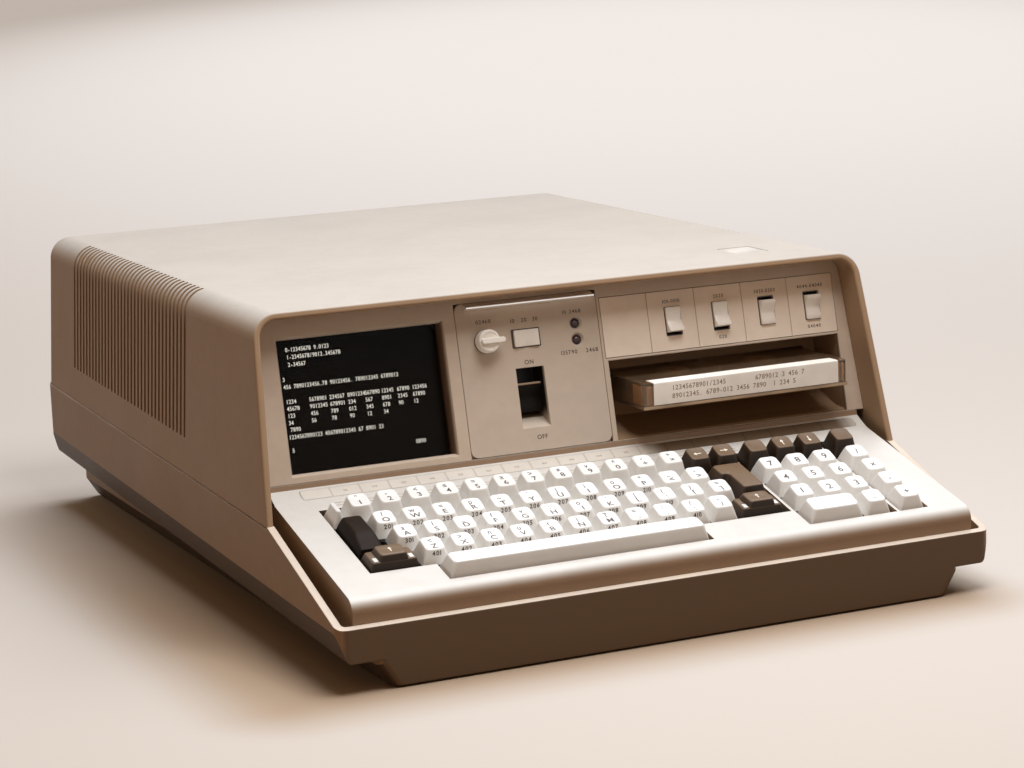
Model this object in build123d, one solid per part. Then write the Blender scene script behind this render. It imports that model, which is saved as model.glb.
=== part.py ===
"""Vintage luggable computer: a desk-top case with a built-in keyboard, a small
display, a control panel and a tape drive with its cartridge in place.

Frame: millimetres, +X to the right seen from the front, +Y to the rear, +Z up.
The origin is the centre of the footprint on the surface the machine stands on.
"""

import os
from math import cos, hypot, radians, sin, tan

from build123d import *

# ---- overall case ----------------------------------------------------------
CASE_WIDTH = 445.0
CASE_DEPTH = 610.0
CASE_HEIGHT = 203.0
HALF_W = CASE_WIDTH / 2
HALF_D = CASE_DEPTH / 2
FRONT_Y = -HALF_D  # the case's two end faces
REAR_Y = HALF_D
CASE_CORNER_R = 7.5  # plan radius of the four upright corners
FOOT_DROP = 1.5  # how far the rubber feet stand below the pan
SEAT_GAP = 0.2  # clearance between parts that sit together
RUN_GAP = 0.05  # radial clearance of a shaft in its hole
MOVE_GAP = 0.3  # clearance round a moving button or slide
SUNK = 1.0  # how far a joined piece reaches into its neighbour, and a tool past a face

# ---- base pan --------------------------------------------------------------
PAN_WALL = 4.8
PAN_FLOOR = 4.0
RIM_FRONT_Z = 38.9  # top of the front rim
RIM_FLAT = 2.0  # level strip on top of the front rim
HOOD_FOOT_Y = FRONT_Y + 113.4  # where the sloping rim meets the cover
HOOD_FOOT_Z = 77.6
PARTING_REAR_Z = 92.6  # parting line at the rear face
PARTING_GROOVE = 1.2  # shadow line along the parting
WING_BREAK_Z = 36.0  # side wall starts to lean in here, at the front face
WING_INSET = 5.5  # how far the wing's lower corner leans in
WING_UNDER_Z = 18.4  # underside of the wing at the front face
WING_EDGE_R = 4.0
INNER_EDGE_R = 1.0  # least radius of an inside corner
PLINTH_INSET = 24.0  # plinth's side from the case's side
PLINTH_TOP_HALF = HALF_W - PLINTH_INSET
PLINTH_KNEE_Z = 15.0
PLINTH_FOOT_HALF = PLINTH_TOP_HALF - 8.5
PLINTH_CORNER_R = 6.0
PLINTH_BACK_SET = 5.0  # plinth stops short of the rear face by this much
REAR_WELL_HALF = 176.0  # recess for the connectors in the rear wall
REAR_WELL_Z = (50.0, 84.0)
REAR_WELL_DEPTH = 16.0
REAR_WELL_WALL = 3.5
POST_R = 5.0
FOOT_R = 11.0
FOOT_SUNK = 2.0  # depth of a foot's pocket in the pan
FOOT_INSET = (22.0, 40.0)  # foot centre from the plinth's side and the case's end
SCREW_R = 1.6
SCREW_HEAD_R = 3.4
SCREW_HEAD_HIGH = 2.2
SCREW_LONG = 12.0

# ---- top cover -------------------------------------------------------------
COVER_WALL = 4.6
COVER_TOP_HALF = HALF_W - 8.3
COVER_TOP_R = 16.0
COVER_REAR_R = 8.0
COVER_LIP_R = 1.6
COVER_FRONT_TOP_Y = HOOD_FOOT_Y + 30.4  # front edge of the flat top
SIDE_SLOTS = 34
SIDE_SLOT_PITCH = 7.94
SIDE_SLOT_WIDTH = 3.8
SIDE_SLOT_FIRST_Y = REAR_Y - 335.2
SIDE_SLOT_FOOT_RISE = 23.0  # slot foot above the parting line
SIDE_SLOT_TOP_INSET = 12.5  # how far the slots reach in over the shoulder
REAR_SLOTS = 12
REAR_SLOT_PITCH = 9.0
REAR_SLOT_WIDTH = 4.5
REAR_SLOT_FIRST_X = 98.0
REAR_SLOT_FOOT_Z = 130.0
PLATE_SIZE = (24.0, 28.0)
PLATE_CENTRE = (158.0, COVER_FRONT_TOP_Y + 55.2)
PLATE_THICK = 0.4
PLATE_SINK = 0.6  # depth of the plate's recess in the cover

# ---- front bezel, leaning back ---------------------------------------------
BEZEL_LEAN = 12.0  # degrees from upright
BEZEL_FOOT_Y = HOOD_FOOT_Y + 26.6
BEZEL_FOOT_Z = 88.0
BEZEL_THICK = 3.5
BEZEL_LOW = 7.7  # lower edge, measured up the bezel from its foot line
FLANGE_WIDE = 4.0  # rear flange of an insert
FLANGE_SLIM = 1.2  # the same beside a neighbouring insert
FLANGE_THICK = 2.0
INSERT_GAP = 0.4  # dark line round an insert

WINDOW_X = (-193.0, -83.0)
WINDOW_W = (13.3, 97.1)
WINDOW_SINK = 9.0  # glass face behind the bezel face
WINDOW_THICK = 3.0
WINDOW_FLARE = 3.0  # bevel round the front of the opening
REVEAL_WALL = 3.0

PANEL_X = (-73.0, 26.8)
PANEL_W = (8.5, 107.0)
PANEL_CORNER_R = 5.0
LEDGE_X = (-66.5, 24.0)
LEDGE_W = (102.4, 106.4)
LEDGE_PROUD = 5.0
LEDGE_NOSE = (1.0, 2.0)  # where the bar's front edge starts and ends, from its foot

SWITCH_X = (29.5, 204.0)
SWITCH_W = (62.2, 101.5)
SWITCH_CORNER_R = 0.5
CELL_EDGES = (63.3, 98.6, 134.0, 169.0)
CELL_LINE = 0.6

BAY_X = (30.7, 204.0)
BAY_W = (8.2, 60.3)
BAY_DEPTH = 34.0
BAY_SCOOP = 16.0  # rise of the scooped floor towards the back
BAY_KNEE = (0.45, 0.3)  # the floor's knee, as shares of the depth and of the rise
BAY_WALL = 2.5
BAY_ROOF = 1.4  # thinner, under the switch panel

# ---- controls on the panel -------------------------------------------------
KNOB_AT = (-54.3, 81.8)
KNOB_R = 7.5
KNOB_HIGH = 9.0
KNOB_POINTER = (4.0, 10.8)  # width, reach from the axis
KNOB_SHAFT_R = 3.0
KNOB_SHAFT_LONG = 14.0
KNOB_BAR_BACK = 0.8  # how far the pointer bar reaches back, as a share of the radius
KNOB_BAR_LOW = 3.0  # pointer bar's foot below the knob's top
KNOB_BAR_PROUD = 1.5
KNOB_BOSS_WALL = 3.0
KNOB_BOSS_LONG = 6.0
LAMP_X = 10.7
LAMP_W = (87.2, 76.5)
LAMP_R = 3.2
LAMP_SINK_R = 4.6
LAMP_SINK_DEEP = 1.6
LAMP_LONG = 9.0
LAMP_DOME_SINK = 1.6  # centre of the dome below its seat
LAMP_COLLAR = 1.5

OPTION_X = (81.3, 116.7, 151.8, 186.7)
OPTION_W = 81.3
OPTION_LEAN = (-12.0, -12.0, 12.0, 12.0)  # rest lean, top in is negative
OPTION_WIDE = 10.5
OPTION_TALL = 16.6
OPTION_HOLE_TALL = 18.3
ROCKER_PIVOT_N = -3.2
ROCKER_PIN_R = 1.5
ROCKER_WALL = 2.0
ROCKER_FACE = 6.8  # face height above the pivot at its two ends
ROCKER_DISH = 2.2  # how much lower the face is at its middle
ROCKER_TAIL = 4.0
ROCKER_FOOT_SHARE = 0.88  # length at the rocker's waist, as a share of its face
ROCKER_TAIL_SHARE = 0.35  # length at its tail
ROCKER_WAIST = 1.0  # waist below the pivot
ROCKER_BOX_DEEP = 12.0

MODE_AT = (-25.6, 81.3)  # three-position display switch, rocks left and right
MODE_WIDE = 17.6
MODE_TALL = 10.6
MODE_HOLE_WIDE = 19.2
MODE_FACE = 5.4
MODE_DISH = 1.2

POWER_X = (-35.4, -15.6)
POWER_W = (22.9, 62.3)
POWER_DEEP = 19.0
POWER_SLOPE_W = 12.0  # run of the sloping foot of the recess
POWER_WALL = 2.0
POWER_PIVOT = (44.2, -15.5)
POWER_LONG = 19.0
POWER_FACE = 9.0
POWER_LEAN = 10.0
POWER_TAIL = 2.0

# ---- display ---------------------------------------------------------------
TUBE_FACE = (104.0, 78.0)
TUBE_FACE_R = 10.0
TUBE_RIM = 4.0  # mounting rim round the face
TUBE_RIM_THICK = 5.0
TUBE_FUNNEL = 78.0
TUBE_NECK_R = 10.5
TUBE_NECK_LONG = 74.0
TUBE_THROAT = 14.7  # side of the funnel's small end
TUBE_THROAT_R = 6.68
TUBE_NECK_SUNK = 6.0  # how far the neck reaches into the funnel
YOKE_R = 26.0
YOKE_LONG = 30.0
YOKE_BACK = 2.0  # yoke's front face behind the funnel's small end

# ---- keyboard deck ---------------------------------------------------------
DECK_SLOPE = 14.6
DECK_REF_Y = FRONT_Y + 6.5
DECK_REF_Z = 53.8
DECK_FRONT_Y = FRONT_Y + 5.0
DECK_SIDE_GAP = 1.2  # deck skirt to the foot of the wing's inside wall
DECK_HALF = HALF_W - WING_INSET - PAN_WALL - DECK_SIDE_GAP
DECK_WALL = 3.0
DECK_NOSE_R = 9.0
STRIP_START_Y = BEZEL_FOOT_Y - 11.0  # the deck turns up here to carry the label strip
STRIP_SLOPE = 30.0
STRIP_X = (-192.0, 205.0)
STRIP_V = (2.2, 11.6)
STRIP_SINK = 1.0
STRIP_CORNER_R = 2.5

KEY_PITCH = 19.5
KEY_BASE = 18.4
KEY_TOP = 12.8
KEY_FOOT_H = -2.2  # underside of a key cap, below the deck face
KEY_HIGH = 8.0
KEY_HIGH_REAR = 11.5
KEY_TRAVEL = 3.8
STEM = 6.0
STEM_FOOT_H = -14.0
STEM_FLOOR_GAP = 0.7  # left under a pressed stem
ROW_A_V = 101.6
ROW_PITCH = 20.4
ROW_START_X = {"A": -166.6, "B": -157.9, "C": -152.6, "D": -143.5}
LIGHT_KEY_COUNT = {"A": 12, "B": 12, "C": 12, "D": 11}
PAD_X0 = 110.2
PAD_PITCH = 20.1
PAD_LAST_X = 175.0
KEY_LEFT = -186.0  # left edge of the keys along the left side
MAIN_RIGHT = 93.4  # right edge of the keys along the right of the main field
NARROW_KEY = 8.9
COMMAND_WIDE = 17.7
LEFT_SHIFT_WIDE = 31.7
RIGHT_SHIFT_X = 62.8
EXECUTE_X = (68.0, 73.4)  # left edges of the upper and the lower half
BAR_X = (-143.6, 29.6)

WELL_LEFT = -187.5
WELL_RIGHT = 96.9
WELL_V = (28.9, 114.2)
BAR_WELL_X = (-145.0, 31.2)
FRONT_WELL_V = 8.8
PAD_WELL_X = (99.0, 162.5)
LAST_WELL_X = (164.6, 185.4)

KEY_PLATE_H = -7.5
KEY_PLATE_THICK = 2.0
KEY_FRAME_X = DECK_HALF - 13.0
KEY_FRAME_V = (3.0, 125.0)
DECK_POST_INSET = (5.0, 9.0, 7.0)  # post centre from the frame's sides, front and rear edge
KEY_FRAME_DEEP = 10.5
KEY_FRAME_WALL = 3.0
DECK_POST_R = 4.0
DECK_POST_X = (-KEY_FRAME_X + DECK_POST_INSET[0], KEY_FRAME_X - DECK_POST_INSET[0])
DECK_POST_V = (KEY_FRAME_V[0] + DECK_POST_INSET[1], KEY_FRAME_V[1] - DECK_POST_INSET[2])
DECK_POSTS = [(x, v) for x in DECK_POST_X for v in DECK_POST_V]

# ---- tape cartridge and drive ----------------------------------------------
CART_SIZE = (152.4, 101.6)
CART_X = 118.0
CART_FRONT_Y = BEZEL_FOOT_Y - 15.0
CART_Z = 117.0
CART_BASE_THICK = 2.0
CART_COVER_HIGH = 15.0
CART_WALL = 1.8
CART_CORNER_R = 3.0
SLOT_GAP = 1.2  # round the cartridge in the bay's slot
CART_MOUTH_X = (66.0, 142.0)
CART_MOUTH_DEEP = 5.0
LABEL_WIDE = 138.0
LABEL_THICK = 0.4
LABEL_Z = (119.6, 131.0)
LABEL_DEEP = 30.0
REEL_X = 33.0
REEL_Y = 42.0
REEL_HUB_R = 11.0
REEL_PACK_R = (30.5, 26.0)
REEL_PIN_R = 2.5
REEL_RIM = 2.0  # hub stands past the wound tape by this much
ROLLER_R = 9.5
ROLLER_BACK = 12.0
CAPSTAN_R = 10.0
CAPSTAN_Z = (120.5, 131.5)
CAPSTAN_SHAFT_R = 2.0
DRIVE_PLATE_Z = (108.0, 116.7)
DRIVE_X_SIDE = 7.0  # drive deck reaches this far past the cartridge
DRIVE_Y = (BEZEL_FOOT_Y + 47.0, BEZEL_FOOT_Y + 147.0)
RAIL_HIGH = 8.0
MOTOR_R = 21.0
MOTOR_LONG = 44.0
HEAD_X = 84.0
HEAD_SIZE = (14.0, 10.0, 11.0)

# ---- chassis and electronics -----------------------------------------------
CHASSIS_Z = 46.0  # top face of the chassis plate
CHASSIS_THICK = 2.0
CHASSIS_HALF = HALF_W - 17.5
CHASSIS_Y = (BEZEL_FOOT_Y + 15.0, REAR_Y - 21.0)
DRIVE_LEG_X = (CART_X - 74.0, CART_X + 74.0)
DRIVE_LEG_Y = (DRIVE_Y[0] + 10.0, DRIVE_Y[1] - 10.0)
DRIVE_LEGS = [(x, y) for x in DRIVE_LEG_X for y in DRIVE_LEG_Y]
DRIVE_LEG_R = 5.0
FAN_X = -HALF_W + 22.5  # outer face of the fan frame
FAN_THICK = 25.0
SUPPLY_X = (HALF_W - 130.5, HALF_W - 20.5)
SUPPLY_Y = (DRIVE_Y[1] + 58.0, REAR_Y - 30.0)
CAGE_X = (FAN_X + FAN_THICK + 35.0, SUPPLY_X[0] - 22.0)
CAGE_Y = (REAR_Y - 245.0, REAR_Y - 35.0)
POST_X = (CAGE_X[0] - 12.0, (CAGE_X[1] + SUPPLY_X[0]) / 2, SUPPLY_X[1] - 26.0)
POST_Y = (CHASSIS_Y[0] + 45.0, CAGE_Y[0], CAGE_Y[1] - 30.0)
POST_XY = [(x, y) for x in POST_X for y in POST_Y]
CAGE_HIGH = 118.0
CAGE_SHEET = 1.5
CARD_COUNT = 10
CARD_THICK = 1.6
CARD_HIGH = 100.0
CARD_SLOT_DEEP = 1.0
BOARD_THICK = 2.4
SOCKET_WIDE = 8.0
SOCKET_HIGH = 9.0
SOCKET_INSET = 12.0  # socket ends from the wiring board's edges
SUPPLY_HIGH = 118.0
SUPPLY_SHEET = 1.5
CORE_SIZE = (70.0, 80.0, 62.0)  # transformer
COIL_SIZE = (48.0, 96.0, 40.0)
FAN_SIZE = 92.0
FAN_BORE_R = 42.0
FAN_HUB_R = 16.0
FAN_BLADES = 5
FAN_Y = REAR_Y - 205.0
FAN_PIN_R = 3.0
FAN_STRUT = 5.0
FAN_TIP_GAP = 1.5
FAN_SET_BACK = 4.0  # bearing pin and rotor stop short of the frame's inner face
BLADE_THICK = 2.0
BLADE_SUNK = 4.0
BLADE_TWIST = 35.0
BLADE_CHORD = 1.05  # chord as a share of the hub's length

# ---- rear connectors -------------------------------------------------------
COAX_X = -120.0
COAX_R = 4.8
COAX_FLANGE_R = 9.0
COAX_LONG = 12.0
COAX_FLANGE_THICK = 2.0
PORT_X = 0.0
PORT_SIZE = (56.0, 14.0, 9.0)
PORT_HOLE_R = 5.0  # wiring hole behind the port
PORT_WALL = (3.0, 2.5)
PORT_FLOOR = 3.0
INLET_X = 120.0
INLET_SIZE = (30.0, 24.0, 8.0)
INLET_HOLE_R = 8.0
INLET_WALL = 3.0
INLET_FLOOR = 2.0
BLADE_PINS = ((-7.0, 3.0), (0.0, -3.0), (7.0, 3.0))  # from the inlet's middle
BLADE_PIN_SIZE = (2.0, 5.0)
REAR_Z = 67.0

# ---- worked out ------------------------------------------------------------
PARTING_TAN = (PARTING_REAR_Z - HOOD_FOOT_Z) / (HALF_D - HOOD_FOOT_Y)
COVER_DRAFT = (HALF_W - COVER_TOP_HALF) / (CASE_HEIGHT - HOOD_FOOT_Z)
HOOD_LEAN_TAN = (COVER_FRONT_TOP_Y - HOOD_FOOT_Y) / (CASE_HEIGHT - HOOD_FOOT_Z)
BEZEL_COS = cos(radians(BEZEL_LEAN))
BEZEL_SIN = sin(radians(BEZEL_LEAN))
BEZEL_TAN = tan(radians(BEZEL_LEAN))
DECK_TAN = tan(radians(DECK_SLOPE))
STRIP_TAN = tan(radians(STRIP_SLOPE))
FAR = 400.0  # longer than any piece, for cutting tools

DECK = Plane(
    origin=(0, DECK_REF_Y, DECK_REF_Z),
    x_dir=(1, 0, 0),
    z_dir=(0, -sin(radians(DECK_SLOPE)), cos(radians(DECK_SLOPE))),
)
BEZEL = Plane(
    origin=(0, BEZEL_FOOT_Y, BEZEL_FOOT_Z),
    x_dir=(1, 0, 0),
    z_dir=(0, -BEZEL_COS, BEZEL_SIN),
)
STRIP = Plane(
    origin=(0, STRIP_START_Y, DECK_REF_Z + DECK_TAN * (STRIP_START_Y - DECK_REF_Y)),
    x_dir=(1, 0, 0),
    z_dir=(0, -sin(radians(STRIP_SLOPE)), cos(radians(STRIP_SLOPE))),
)


# ---- small helpers ---------------------------------------------------------
def block(x, y, z):
    """Box between two limits on each axis."""
    size = (x[1] - x[0], y[1] - y[0], z[1] - z[0])
    centre = ((x[0] + x[1]) / 2, (y[0] + y[1]) / 2, (z[0] + z[1]) / 2)
    return Pos(*centre) * Box(*size)


def plate_on(plane, x, v, h):
    """Box between limits in a tilted plane's own directions."""
    return plane * block(x, v, h)


def drum(radius, low, high, at=(0.0, 0.0)):
    """Upright cylinder between two heights."""
    middle = (low + high) / 2
    return Pos(at[0], at[1], middle) * Cylinder(radius, high - low)


def drum_on(plane, radius, at, low, high):
    """Cylinder square to a tilted plane."""
    return plane * drum(radius, low, high, at)


def side_prism(points, half):
    """Prism across the machine from (y, z) points."""
    face = make_face(Polyline(*[(-half, y, z) for y, z in points], close=True))
    return extrude(face, 2 * half, dir=(1, 0, 0))


def cross_prism(points, start, length, rise=0.0):
    """Prism along the machine from (x, z) points, climbing by rise in all."""
    face = make_face(Polyline(*[(x, start, z) for x, z in points], close=True))
    return extrude(face, hypot(length, rise), dir=(0, length, rise))


def rounded_slab(plane, x, v, h, radius):
    """Slab in a tilted plane with rounded corners."""
    outline = Pos((x[0] + x[1]) / 2, (v[0] + v[1]) / 2) * RectangleRounded(
        x[1] - x[0], v[1] - v[0], radius
    )
    return plane * (Pos(0, 0, h[0]) * extrude(outline, h[1] - h[0]))


def parting_z(y):
    """Height of the line where the cover meets the pan."""
    return HOOD_FOOT_Z + PARTING_TAN * (y - HOOD_FOOT_Y)


def cover_half(z):
    """Half width of the cover at a height."""
    return HALF_W - COVER_DRAFT * (z - HOOD_FOOT_Z)


def hood_front_y(z):
    """Depth of the cover's leaning front edge at a height."""
    return HOOD_FOOT_Y + HOOD_LEAN_TAN * (z - HOOD_FOOT_Z)


def mirrored(points):
    """Right-hand outline points, closed with their mirror images."""
    return points + [(-x, z) for x, z in reversed(points)]


# ---- case ------------------------------------------------------------------
def pan_solid(inset, floor):
    """Wing tub and plinth of the pan, drawn in by a wall and a floor."""
    climb = PARTING_TAN * CASE_DEPTH
    high = CASE_HEIGHT
    wing = mirrored(
        [
            (HALF_W - inset, high),
            (HALF_W - inset, WING_BREAK_Z),
            (HALF_W - WING_INSET - inset, WING_UNDER_Z + floor),
        ]
    )
    tub = cross_prism(wing, -HALF_D, CASE_DEPTH, climb)
    low_corners = tub.edges().filter_by(
        lambda e: abs(abs(e.center().X) - (HALF_W - WING_INSET - inset)) < 0.1
    )
    tub = fillet(low_corners, WING_EDGE_R if inset == 0 else INNER_EDGE_R)
    knee = PLINTH_KNEE_Z + floor
    foot = FOOT_DROP + floor
    plinth = cross_prism(
        mirrored(
            [
                (PLINTH_TOP_HALF - inset, WING_BREAK_Z),
                (PLINTH_TOP_HALF - inset, knee),
                (PLINTH_FOOT_HALF - inset, foot),
            ]
        ),
        -HALF_D + inset,
        CASE_DEPTH - PLINTH_BACK_SET - 2 * inset,
    )
    uprights = plinth.edges().filter_by(
        lambda e: abs(e.center().Y + HALF_D - inset) < 0.1
        and abs(e.center().X) > PLINTH_FOOT_HALF - inset - 1
    )
    plinth = fillet(uprights, max(PLINTH_CORNER_R - inset, INNER_EDGE_R))
    plan = RectangleRounded(
        CASE_WIDTH - 2 * inset,
        CASE_DEPTH - 2 * inset,
        max(CASE_CORNER_R - inset, INNER_EDGE_R),
    )
    return (tub + plinth) & extrude(plan, high)


def above_rim(drop, half):
    """Everything above the pan's rim and parting line."""
    flat_y = -HALF_D + RIM_FLAT
    far_z = CASE_HEIGHT + 10
    far_y = HALF_D + 20
    line = [
        (-far_y, RIM_FRONT_Z - drop),
        (flat_y, RIM_FRONT_Z - drop),
        (HOOD_FOOT_Y, HOOD_FOOT_Z - drop),
        (far_y, parting_z(far_y) - drop),
    ]
    return side_prism(line + [(far_y, far_z), (-far_y, far_z)], half)


def rear_well(grow):
    """Recess in the rear wall that the connectors stand in."""
    half = REAR_WELL_HALF + grow
    return block(
        (-half, half),
        (HALF_D - REAR_WELL_DEPTH - grow, HALF_D + 1),
        (REAR_WELL_Z[0] - grow, REAR_WELL_Z[1] + grow),
    )


def base_pan():
    pan = pan_solid(0, 0) - pan_solid(PAN_WALL, PAN_FLOOR)
    for x, y in POST_XY:
        pan += drum(POST_R, FOOT_DROP + SUNK, CHASSIS_Z - CHASSIS_THICK, (x, y))
    shell = pan_solid(0, 0)
    pan += rear_well(REAR_WELL_WALL) & shell
    pan -= rear_well(0)
    pan -= above_rim(0, FAR)
    groove = above_rim(PARTING_GROOVE, FAR) - block(
        (-HALF_W + PARTING_GROOVE, HALF_W - PARTING_GROOVE),
        (-FAR, HALF_D - PARTING_GROOVE),
        (0, FAR),
    )
    groove &= block((-FAR, FAR), (HOOD_FOOT_Y, FAR), (0, FAR))
    pan -= groove
    for x, y in foot_places():
        pan -= drum(FOOT_R + SEAT_GAP, 0, FOOT_DROP + FOOT_SUNK, (x, y))
    for x, hole_r in ((COAX_X, COAX_R), (PORT_X, PORT_HOLE_R), (INLET_X, INLET_HOLE_R)):
        hole = Cylinder(hole_r, REAR_WELL_WALL * 4, rotation=(90, 0, 0))
        pan -= Pos(x, HALF_D - REAR_WELL_DEPTH, REAR_Z) * hole
    for x, y in POST_XY:
        pan -= drum(SCREW_R, CHASSIS_Z - SCREW_LONG, CHASSIS_Z, (x, y))
    return pan


def foot_places():
    """Centres of the four rubber feet."""
    x = PLINTH_FOOT_HALF - FOOT_INSET[0]
    y = HALF_D - FOOT_INSET[1]
    return [(-x, -y), (x, -y), (-x, y), (x, y)]


def rubber_feet():
    feet = [drum(FOOT_R, 0, FOOT_DROP + FOOT_SUNK, at) for at in foot_places()]
    return Compound(children=feet)


def cover_solid(inset):
    """Outer form of the cover, drawn in by a wall thickness."""
    low = WING_BREAK_Z
    top = CASE_HEIGHT - inset
    start = HOOD_FOOT_Y - 40
    length = HALF_D - inset - start
    outline = mirrored([(cover_half(top) - inset, top), (cover_half(low) - inset, low)])
    body = cross_prism(outline, start, length)
    shoulders = body.edges().filter_by(Axis.Y).group_by(Axis.Z)[-1]
    body = fillet(shoulders, COVER_TOP_R - inset)
    rear = body.faces().sort_by(Axis.Y)[-1].edges()
    rim = rear.filter_by(lambda e: e.center().Z > low + 1)
    return fillet(rim, COVER_REAR_R - inset)


def behind_hood_front():
    """Half space behind the cover's leaning front edge."""
    low, high = 0.0, CASE_HEIGHT + 10
    points = [
        (hood_front_y(low), low),
        (HALF_D + 20, low),
        (HALF_D + 20, high),
        (hood_front_y(high), high),
    ]
    return side_prism(points, FAR)


def top_cover():
    shell = (cover_solid(0) - cover_solid(COVER_WALL)) & behind_hood_front()
    lip = shell.edges().filter_by(
        lambda e: abs(e.center().Y - hood_front_y(e.center().Z)) < 0.5
        and e.center().Z > HOOD_FOOT_Z + 5
    )
    shell = fillet(lip, COVER_LIP_R)
    shell &= above_rim(0, FAR)
    shell -= Compound(children=side_slots() + rear_slots())
    x, y = PLATE_CENTRE
    shell -= Pos(x, y, CASE_HEIGHT - PLATE_SINK / 2) * Box(
        PLATE_SIZE[0] + 2 * SEAT_GAP, PLATE_SIZE[1] + 2 * SEAT_GAP, PLATE_SINK
    )
    return shell


def side_slots():
    """Cooling slots through both sides, up over the shoulders."""
    inner = COVER_TOP_HALF - SIDE_SLOT_TOP_INSET
    tools = []
    for i in range(SIDE_SLOTS):
        y = SIDE_SLOT_FIRST_Y + i * SIDE_SLOT_PITCH
        span = (y - SIDE_SLOT_WIDTH / 2, y + SIDE_SLOT_WIDTH / 2)
        foot = parting_z(y) + SIDE_SLOT_FOOT_RISE
        for left, right in ((-FAR, -inner), (inner, FAR)):
            tools.append(block((left, right), span, (foot, FAR)))
    return tools


def rear_slots():
    """Cooling slots through the rear wall, up over its top edge."""
    tools = []
    for i in range(REAR_SLOTS):
        x = REAR_SLOT_FIRST_X + i * REAR_SLOT_PITCH
        span = (x - REAR_SLOT_WIDTH / 2, x + REAR_SLOT_WIDTH / 2)
        depth = (HALF_D - COVER_WALL - 1, FAR)
        tools.append(block(span, depth, (REAR_SLOT_FOOT_Z, FAR)))
    return tools


def name_plate():
    x, y = PLATE_CENTRE
    low = CASE_HEIGHT - PLATE_SINK
    return Pos(x, y, low + PLATE_THICK / 2) * Box(*PLATE_SIZE, PLATE_THICK)


# ---- front bezel and its inserts -------------------------------------------
def insert_hole(x, w):
    """Tool for a bezel opening with a dark line all round the insert."""
    return plate_on(
        BEZEL,
        (x[0] - INSERT_GAP, x[1] + INSERT_GAP),
        (w[0] - INSERT_GAP, w[1] + INSERT_GAP),
        (-FAR, FAR),
    )


def front_bezel():
    sheet = plate_on(BEZEL, (-FAR, FAR), (BEZEL_LOW, FAR), (-BEZEL_THICK, 0))
    sheet &= cover_solid(COVER_WALL + SEAT_GAP)
    reveal = plate_on(
        BEZEL,
        (WINDOW_X[0] - REVEAL_WALL, WINDOW_X[1] + REVEAL_WALL),
        (WINDOW_W[0] - REVEAL_WALL, WINDOW_W[1] + REVEAL_WALL),
        (-WINDOW_SINK - WINDOW_THICK, -BEZEL_THICK),
    )
    sheet += reveal
    sheet -= plate_on(BEZEL, WINDOW_X, WINDOW_W, (-FAR, FAR))
    centre = middle(WINDOW_X, WINDOW_W)
    size = span(WINDOW_X, WINDOW_W)
    inner = Pos(*centre, -WINDOW_FLARE) * Rectangle(*size)
    outer = Pos(*centre, 0) * Rectangle(*[s + WINDOW_FLARE for s in size])
    sheet -= BEZEL * loft([inner, outer])
    sheet -= insert_hole(PANEL_X, PANEL_W)
    sheet -= insert_hole(SWITCH_X, SWITCH_W)
    sheet -= plate_on(BEZEL, BAY_X, BAY_W, (-FAR, FAR))
    return sheet


def middle(x, v):
    """Centre of two spans."""
    return ((x[0] + x[1]) / 2, (v[0] + v[1]) / 2)


def span(x, v):
    """Lengths of two spans."""
    return (x[1] - x[0], v[1] - v[0])


def insert_plate(x, w, radius, left, right, low):
    """Flush plate with a flange behind the bezel, reaching past its edges."""
    face = rounded_slab(BEZEL, x, w, (-BEZEL_THICK, 0), radius)
    flange = plate_on(
        BEZEL,
        (x[0] - left, x[1] + right),
        (w[0] - low, w[1] + FLANGE_SLIM),
        (-BEZEL_THICK - FLANGE_THICK, -BEZEL_THICK),
    )
    return face + flange


def rocker_box(centre, hole, deep):
    """Open box behind the panel that carries a rocker between its walls."""
    outer = [(c - s / 2 - ROCKER_WALL, c + s / 2 + ROCKER_WALL) for c, s in zip(centre, hole)]
    inner = [(c - s / 2, c + s / 2) for c, s in zip(centre, hole)]
    box = plate_on(BEZEL, *outer, (-deep - ROCKER_WALL, -BEZEL_THICK))
    hollow = plate_on(BEZEL, *inner, (-deep, FAR))
    return box, hollow


def pin_along(plane, x, v, h, length, radius):
    """Round pin across a tilted plane, along X."""
    pin = Cylinder(radius, length, rotation=(0, 90, 0))
    return plane * (Pos(x, v, h) * pin)


def rocker_shape(long, face, dish, tail):
    """Side outline of a rocker about its pivot: along, height."""
    half = long / 2
    foot = half * ROCKER_FOOT_SHARE
    end = half * ROCKER_TAIL_SHARE
    return [
        (-half, face),
        (0, face - dish),
        (half, face),
        (foot, -ROCKER_WAIST),
        (end, -tail),
        (-end, -tail),
        (-foot, -ROCKER_WAIST),
    ]


def rocker(width, outline, pin_long):
    """Rocker about its own pivot: outline lies in Y and Z, width along X."""
    face = make_face(Polyline(*[(-width / 2, v, n) for v, n in outline], close=True))
    body = extrude(face, width, dir=(1, 0, 0))
    return body + Cylinder(ROCKER_PIN_R, pin_long, rotation=(0, 90, 0))


def option_switch(index):
    shape = rocker_shape(OPTION_TALL, ROCKER_FACE, ROCKER_DISH, ROCKER_TAIL)
    body = rocker(OPTION_WIDE, shape, OPTION_WIDE + 2 * MOVE_GAP + ROCKER_WALL)
    lean = Rot(OPTION_LEAN[index], 0, 0)
    return BEZEL * (Pos(OPTION_X[index], OPTION_W, ROCKER_PIVOT_N) * lean * body)


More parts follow.
